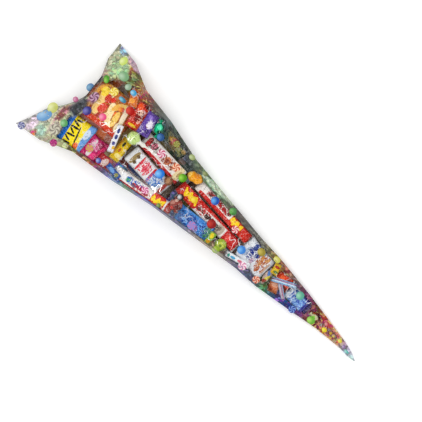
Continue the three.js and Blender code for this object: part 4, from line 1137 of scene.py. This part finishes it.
def ink_material(name, swirls):
    material, tree, shader = principled(name)
    place = node_in(tree, "ShaderNodeUVMap", {}, uv_map="place").outputs[0]
    reach = node_in(tree, "ShaderNodeVectorMath", {0: place}, operation="LENGTH").outputs["Value"]
    if swirls:
        split = node_in(tree, "ShaderNodeSeparateXYZ", {0: place}).outputs
        angle = math_node(tree, "MULTIPLY", math_node(tree, "ARCTAN2", split["Y"], split["X"]), 5.0)
        wound = math_node(tree, "ADD", angle, math_node(tree, "MULTIPLY", reach, 6.0))
        share = math_node(tree, "MULTIPLY_ADD", math_node(tree, "SINE", wound), 1.2, 0.5, clamp=True)
    else:
        light_spot = {0: place, 1: (-0.25, 0.35, 0)}
        off = node_in(tree, "ShaderNodeVectorMath", light_spot, operation="DISTANCE").outputs["Value"]
        share = math_node(tree, "SUBTRACT", 1.0, math_node(tree, "MULTIPLY", off, 1.1), clamp=True)
    ink_a, ink_b = (node_in(tree, "ShaderNodeVertexColor", {}, layer_name=x) for x in ("ink_a", "ink_b"))
    rim = math_node(tree, "MULTIPLY", math_node(tree, "SUBTRACT", 1.0, reach), 9.0, clamp=True)
    set_inputs(tree, shader, {
        "Base Color": mix_colours(tree, share, ink_a.outputs["Color"], ink_b.outputs["Color"]),
        "Roughness": 0.25,
        "Specular IOR Level": 0.15,
        "Alpha": math_node(tree, "MULTIPLY", rim, 0.94),
    })
    return material


def print_disc(x, y, wide, tall, ink_a, ink_b, turn=0):
    deselect()
    bpy.ops.mesh.primitive_circle_add(vertices=24, radius=1, fill_type="TRIFAN")
    disc = bpy.context.object
    bpy.ops.object.mode_set(mode="EDIT")
    bpy.ops.mesh.select_all(action="SELECT")
    bpy.ops.mesh.subdivide(number_cuts=2)
    bpy.ops.object.mode_set(mode="OBJECT")
    mark_place(disc.data, 1)
    for layer, code in (("ink_a", ink_a), ("ink_b", ink_b)):
        ink = disc.data.color_attributes.new(layer, "FLOAT_COLOR", "POINT")
        for item in ink.data:
            item.color = colour(code)
    spin = Matrix.Rotation(math.radians(turn), 2)
    heights = []
    for vertex in disc.data.vertices:
        flat = spin @ Vector((vertex.co.x * wide, vertex.co.y * tall))
        px, py = (x + flat.x + RAW_X) * MM, (y + flat.y + RAW_Y) * MM
        hit = film_tree.ray_cast(Vector((px, py, ABOVE_ALL)), DOWN)[0]
        heights.append(hit.z if hit else None)
        vertex.co = (px, py, 0)
    # A print at the film's edge stands out past it, level with the lowest film under the rest of it.
    edge_height = min((z for z in heights if z is not None), default=6 * MM)
    for vertex, z in zip(disc.data.vertices, heights):
        vertex.co.z = (edge_height if z is None else z) + PRINT_LIFT
    return disc


def print_all(name, material, prints):
    discs = [print_disc(*each) for each in prints]
    deselect()
    for disc in discs:
        disc.select_set(True)
    bpy.context.view_layer.objects.active = discs[0]
    bpy.ops.object.join()
    joined = bpy.context.object
    joined.name = name
    bpy.ops.object.shade_smooth()
    finished(joined, material)
    print(name, len(prints))


print_all("swirl_prints", ink_material("swirl_ink", True), [
    (-132, 810, 8, 8, "4a4a86", "b0b4d0"), (-90, 755, 11, 11, "8c8478", "d0ccb8"),
    (47, 721, 9, 9, "d8b82a", "f4e48a"), (25, 568, 9, 9, "c03a6a", "f0d4dc"),
    (26, 528, 9, 9, "c8502a", "f0c8a8"), (-50, 540, 8, 8, "b83a78", "f0c0d4"),
    (20, 357, 8, 8, "c03044", "f4d0cc"), (-22, 296, 9, 9, "d07aa0", "f8e4ec"),
    (-22, 257, 8, 8, "c8502c", "f0c0a8"), (-14, 163, 8, 8, "2a3c90", "7a9ad8"),
    (12, 742, 11, 9, "6a3a5a", "c8a0b8"), (-68, 678, 8, 8, "b8b83a", "d8607a"),
    (-111, 738, 8, 8, "8a1458", "c84a90"), (-35, 425, 9, 9, "b87ab0", "7a8ad0"),
    (60, 560, 7, 7, "7a7a32", "a8a85a")])
print_all("ball_prints", ink_material("ball_ink", False), [
    (-62, 789, 12, 11, "c8cc6a", "e8ecb0"), (-18, 768, 6, 6, "c05a8a", "e8b0cc"),
    (20, 764, 9, 8, "3a7ab4", "8ac0e0"), (54, 750, 9, 6, "4a9a2a", "9ad060", 45),
    (-85, 790, 17, 11, "6a9ccc", "a8cce8", -30), (-68, 750, 8, 8, "5aa05a", "a0d0a0"),
    (-18, 733, 10, 9, "2a2878", "7a7ac0"), (-5, 702, 8, 8, "e0407c", "f4a0b8"),
    (30, 687, 5, 5, "d86a1c", "f0a850"), (42, 672, 9, 9, "a80c08", "d83a28"),
    (47, 698, 5, 9, "2a7a9a", "8ad0e0"), (72, 692, 6, 7, "3a9ac8", "a8d8ec"),
    (104, 753, 10, 8, "c8dc6a", "e8f0b0"), (82, 730, 10, 12, "7aa878", "b8d4b4"),
    (73, 708, 7, 7, "8aa88a", "c0d4bc"), (-73, 648, 6, 6, "3a4a9a", "a0b0e0"),
    (47, 592, 8, 8, "24508c", "5a90c8"), (-6, 542, 10, 10, "1470cc", "80c4f4"),
    (63, 520, 6, 7, "9aa86a", "c8d4a0"), (20, 504, 9, 9, "4c9010", "9ad848"),
    (5, 457, 7, 8, "d8b81c", "f4e05a"), (33, 426, 9, 9, "0c4ca8", "6ab4f0"),
    (-5, 399, 10, 10, "8c0a0a", "c83a2c"), (43, 386, 8, 8, "2c8428", "80c468"),
    (0, 320, 9, 9, "2478cc", "7abcf0"), (25, 288, 8, 9, "9a8a2c", "c8b85a"),
    (36, 255, 6, 8, "d0cc50", "f0eca0"), (17, 171, 9, 9, "5aa890", "a0d8b8"),
    (-3, 121, 8, 9, "6ab038", "b8e070"), (2, 88, 5, 6, "d8c020", "f4ec60"),
    (8, 50, 4, 5, "d8c834", "f4f080"), (-36, 357, 8, 8, "8aa82a", "c8d870"),
    (2, 25, 3, 6, "5ab0a8", "b0e0d8"), (5, 36, 4, 4, "8a6a9a", "c0b0cc"),
    (14, 92, 5, 6, "b03a3a", "e0a0a0"), (-53, 500, 5, 5, "5a7a3a", "a0b070"),
    (58, 478, 5, 6, "6a7a3a", "a8b070"), (-10, 480, 7, 7, "18181c", "e8e8ec")])

# %% [markdown]
# The bag lies on white paper under a white sky and two large lamps, which keep its shadow faint. The
# floor is a little brighter to the camera than to other rays, so it looks white without lighting the
# film from below.

# %% Floor and light
FLOOR_GLOW, WORLD_LIGHT = 0.1, 0.95

deselect()
bpy.ops.mesh.primitive_plane_add(size=8, location=(0, 0, -0.0004))
floor = bpy.context.object
floor.name = "floor"
floor_material, floor_tree, floor_shader = principled("paper_floor")
seen = node_in(floor_tree, "ShaderNodeLightPath", {}).outputs["Is Camera Ray"]
set_inputs(floor_tree, floor_shader, {
    "Base Color": mix_colours(floor_tree, seen, (0.8, 0.8, 0.8, 1), (1, 1, 1, 1)),
    "Roughness": 0.9,
    "Emission Color": (1, 1, 1, 1),
    "Emission Strength": math_node(floor_tree, "MULTIPLY", seen, FLOOR_GLOW),
})
floor.data.materials.append(floor_material)

world = bpy.data.worlds.new("studio")
bpy.context.scene.world = world
world.use_nodes = True
background = world.node_tree.nodes["Background"]
set_inputs(world.node_tree, background, {"Color": (1, 1, 1, 1), "Strength": WORLD_LIGHT})

bpy.context.scene.view_settings.view_transform = "Standard"

for name, place, size, power in (
    ("key", (-0.5, 0.5, 2.0), 1.0, 6.5),
    ("fill", (0.7, -0.5, 1.9), 1.2, 2.5),
):
    bpy.ops.object.light_add(type="AREA", location=place)
    lamp = bpy.context.object
    lamp.name = name
    lamp.data.size = size
    lamp.data.energy = power
    lamp.rotation_mode = "QUATERNION"
    lamp.rotation_quaternion = (-Vector(place)).to_track_quat("-Z", "Y")

print("floor, world and lamps ready")

# %% [markdown]
# The picture looks straight down and shows hardly any perspective, so the camera stands far above the
# bag with a long lens. Its turn and its place are worked out from where the bag's tip lies in the
# picture.

# %% The camera
PHOTO_PIXELS, MM_PER_PIXEL = 422, 2
CAMERA_HEIGHT = 6.0
SENSOR = 36

camera_data = bpy.data.cameras.new("camera")
camera = bpy.data.objects.new("camera", camera_data)
bpy.context.scene.collection.objects.link(camera)
bpy.context.scene.camera = camera
# Pixels count to the right and down. The bag's own directions in the picture have a length of one pixel.
tip_pixel, centre_pixel = Vector((355.5, 362.0)), Vector((211.0, 211.0))
bag_along, bag_across = Vector((-0.713, -0.701)), Vector((0.701, -0.713))
offset = centre_pixel - tip_pixel
along = offset.dot(bag_along) * MM_PER_PIXEL * MM
across = offset.dot(bag_across) * MM_PER_PIXEL * MM
TIP_X, TIP_Y = 0.006, cad_low.y
target = Vector((across + TIP_X, TIP_Y + along, 0.04))
right = Vector((bag_across.x, bag_along.x, 0)).normalized()
up = Vector((-bag_across.y, -bag_along.y, 0)).normalized()
camera.matrix_world = Matrix((right, up, Vector((0, 0, 1)))).transposed().to_4x4()
camera.matrix_world.translation = target + Vector((0, 0, CAMERA_HEIGHT))
camera_data.sensor_width = SENSOR
camera_data.lens = SENSOR * CAMERA_HEIGHT / (PHOTO_PIXELS * MM_PER_PIXEL * MM)
camera_data.clip_end = 100
print("camera looks at", [round(v, 3) for v in target])
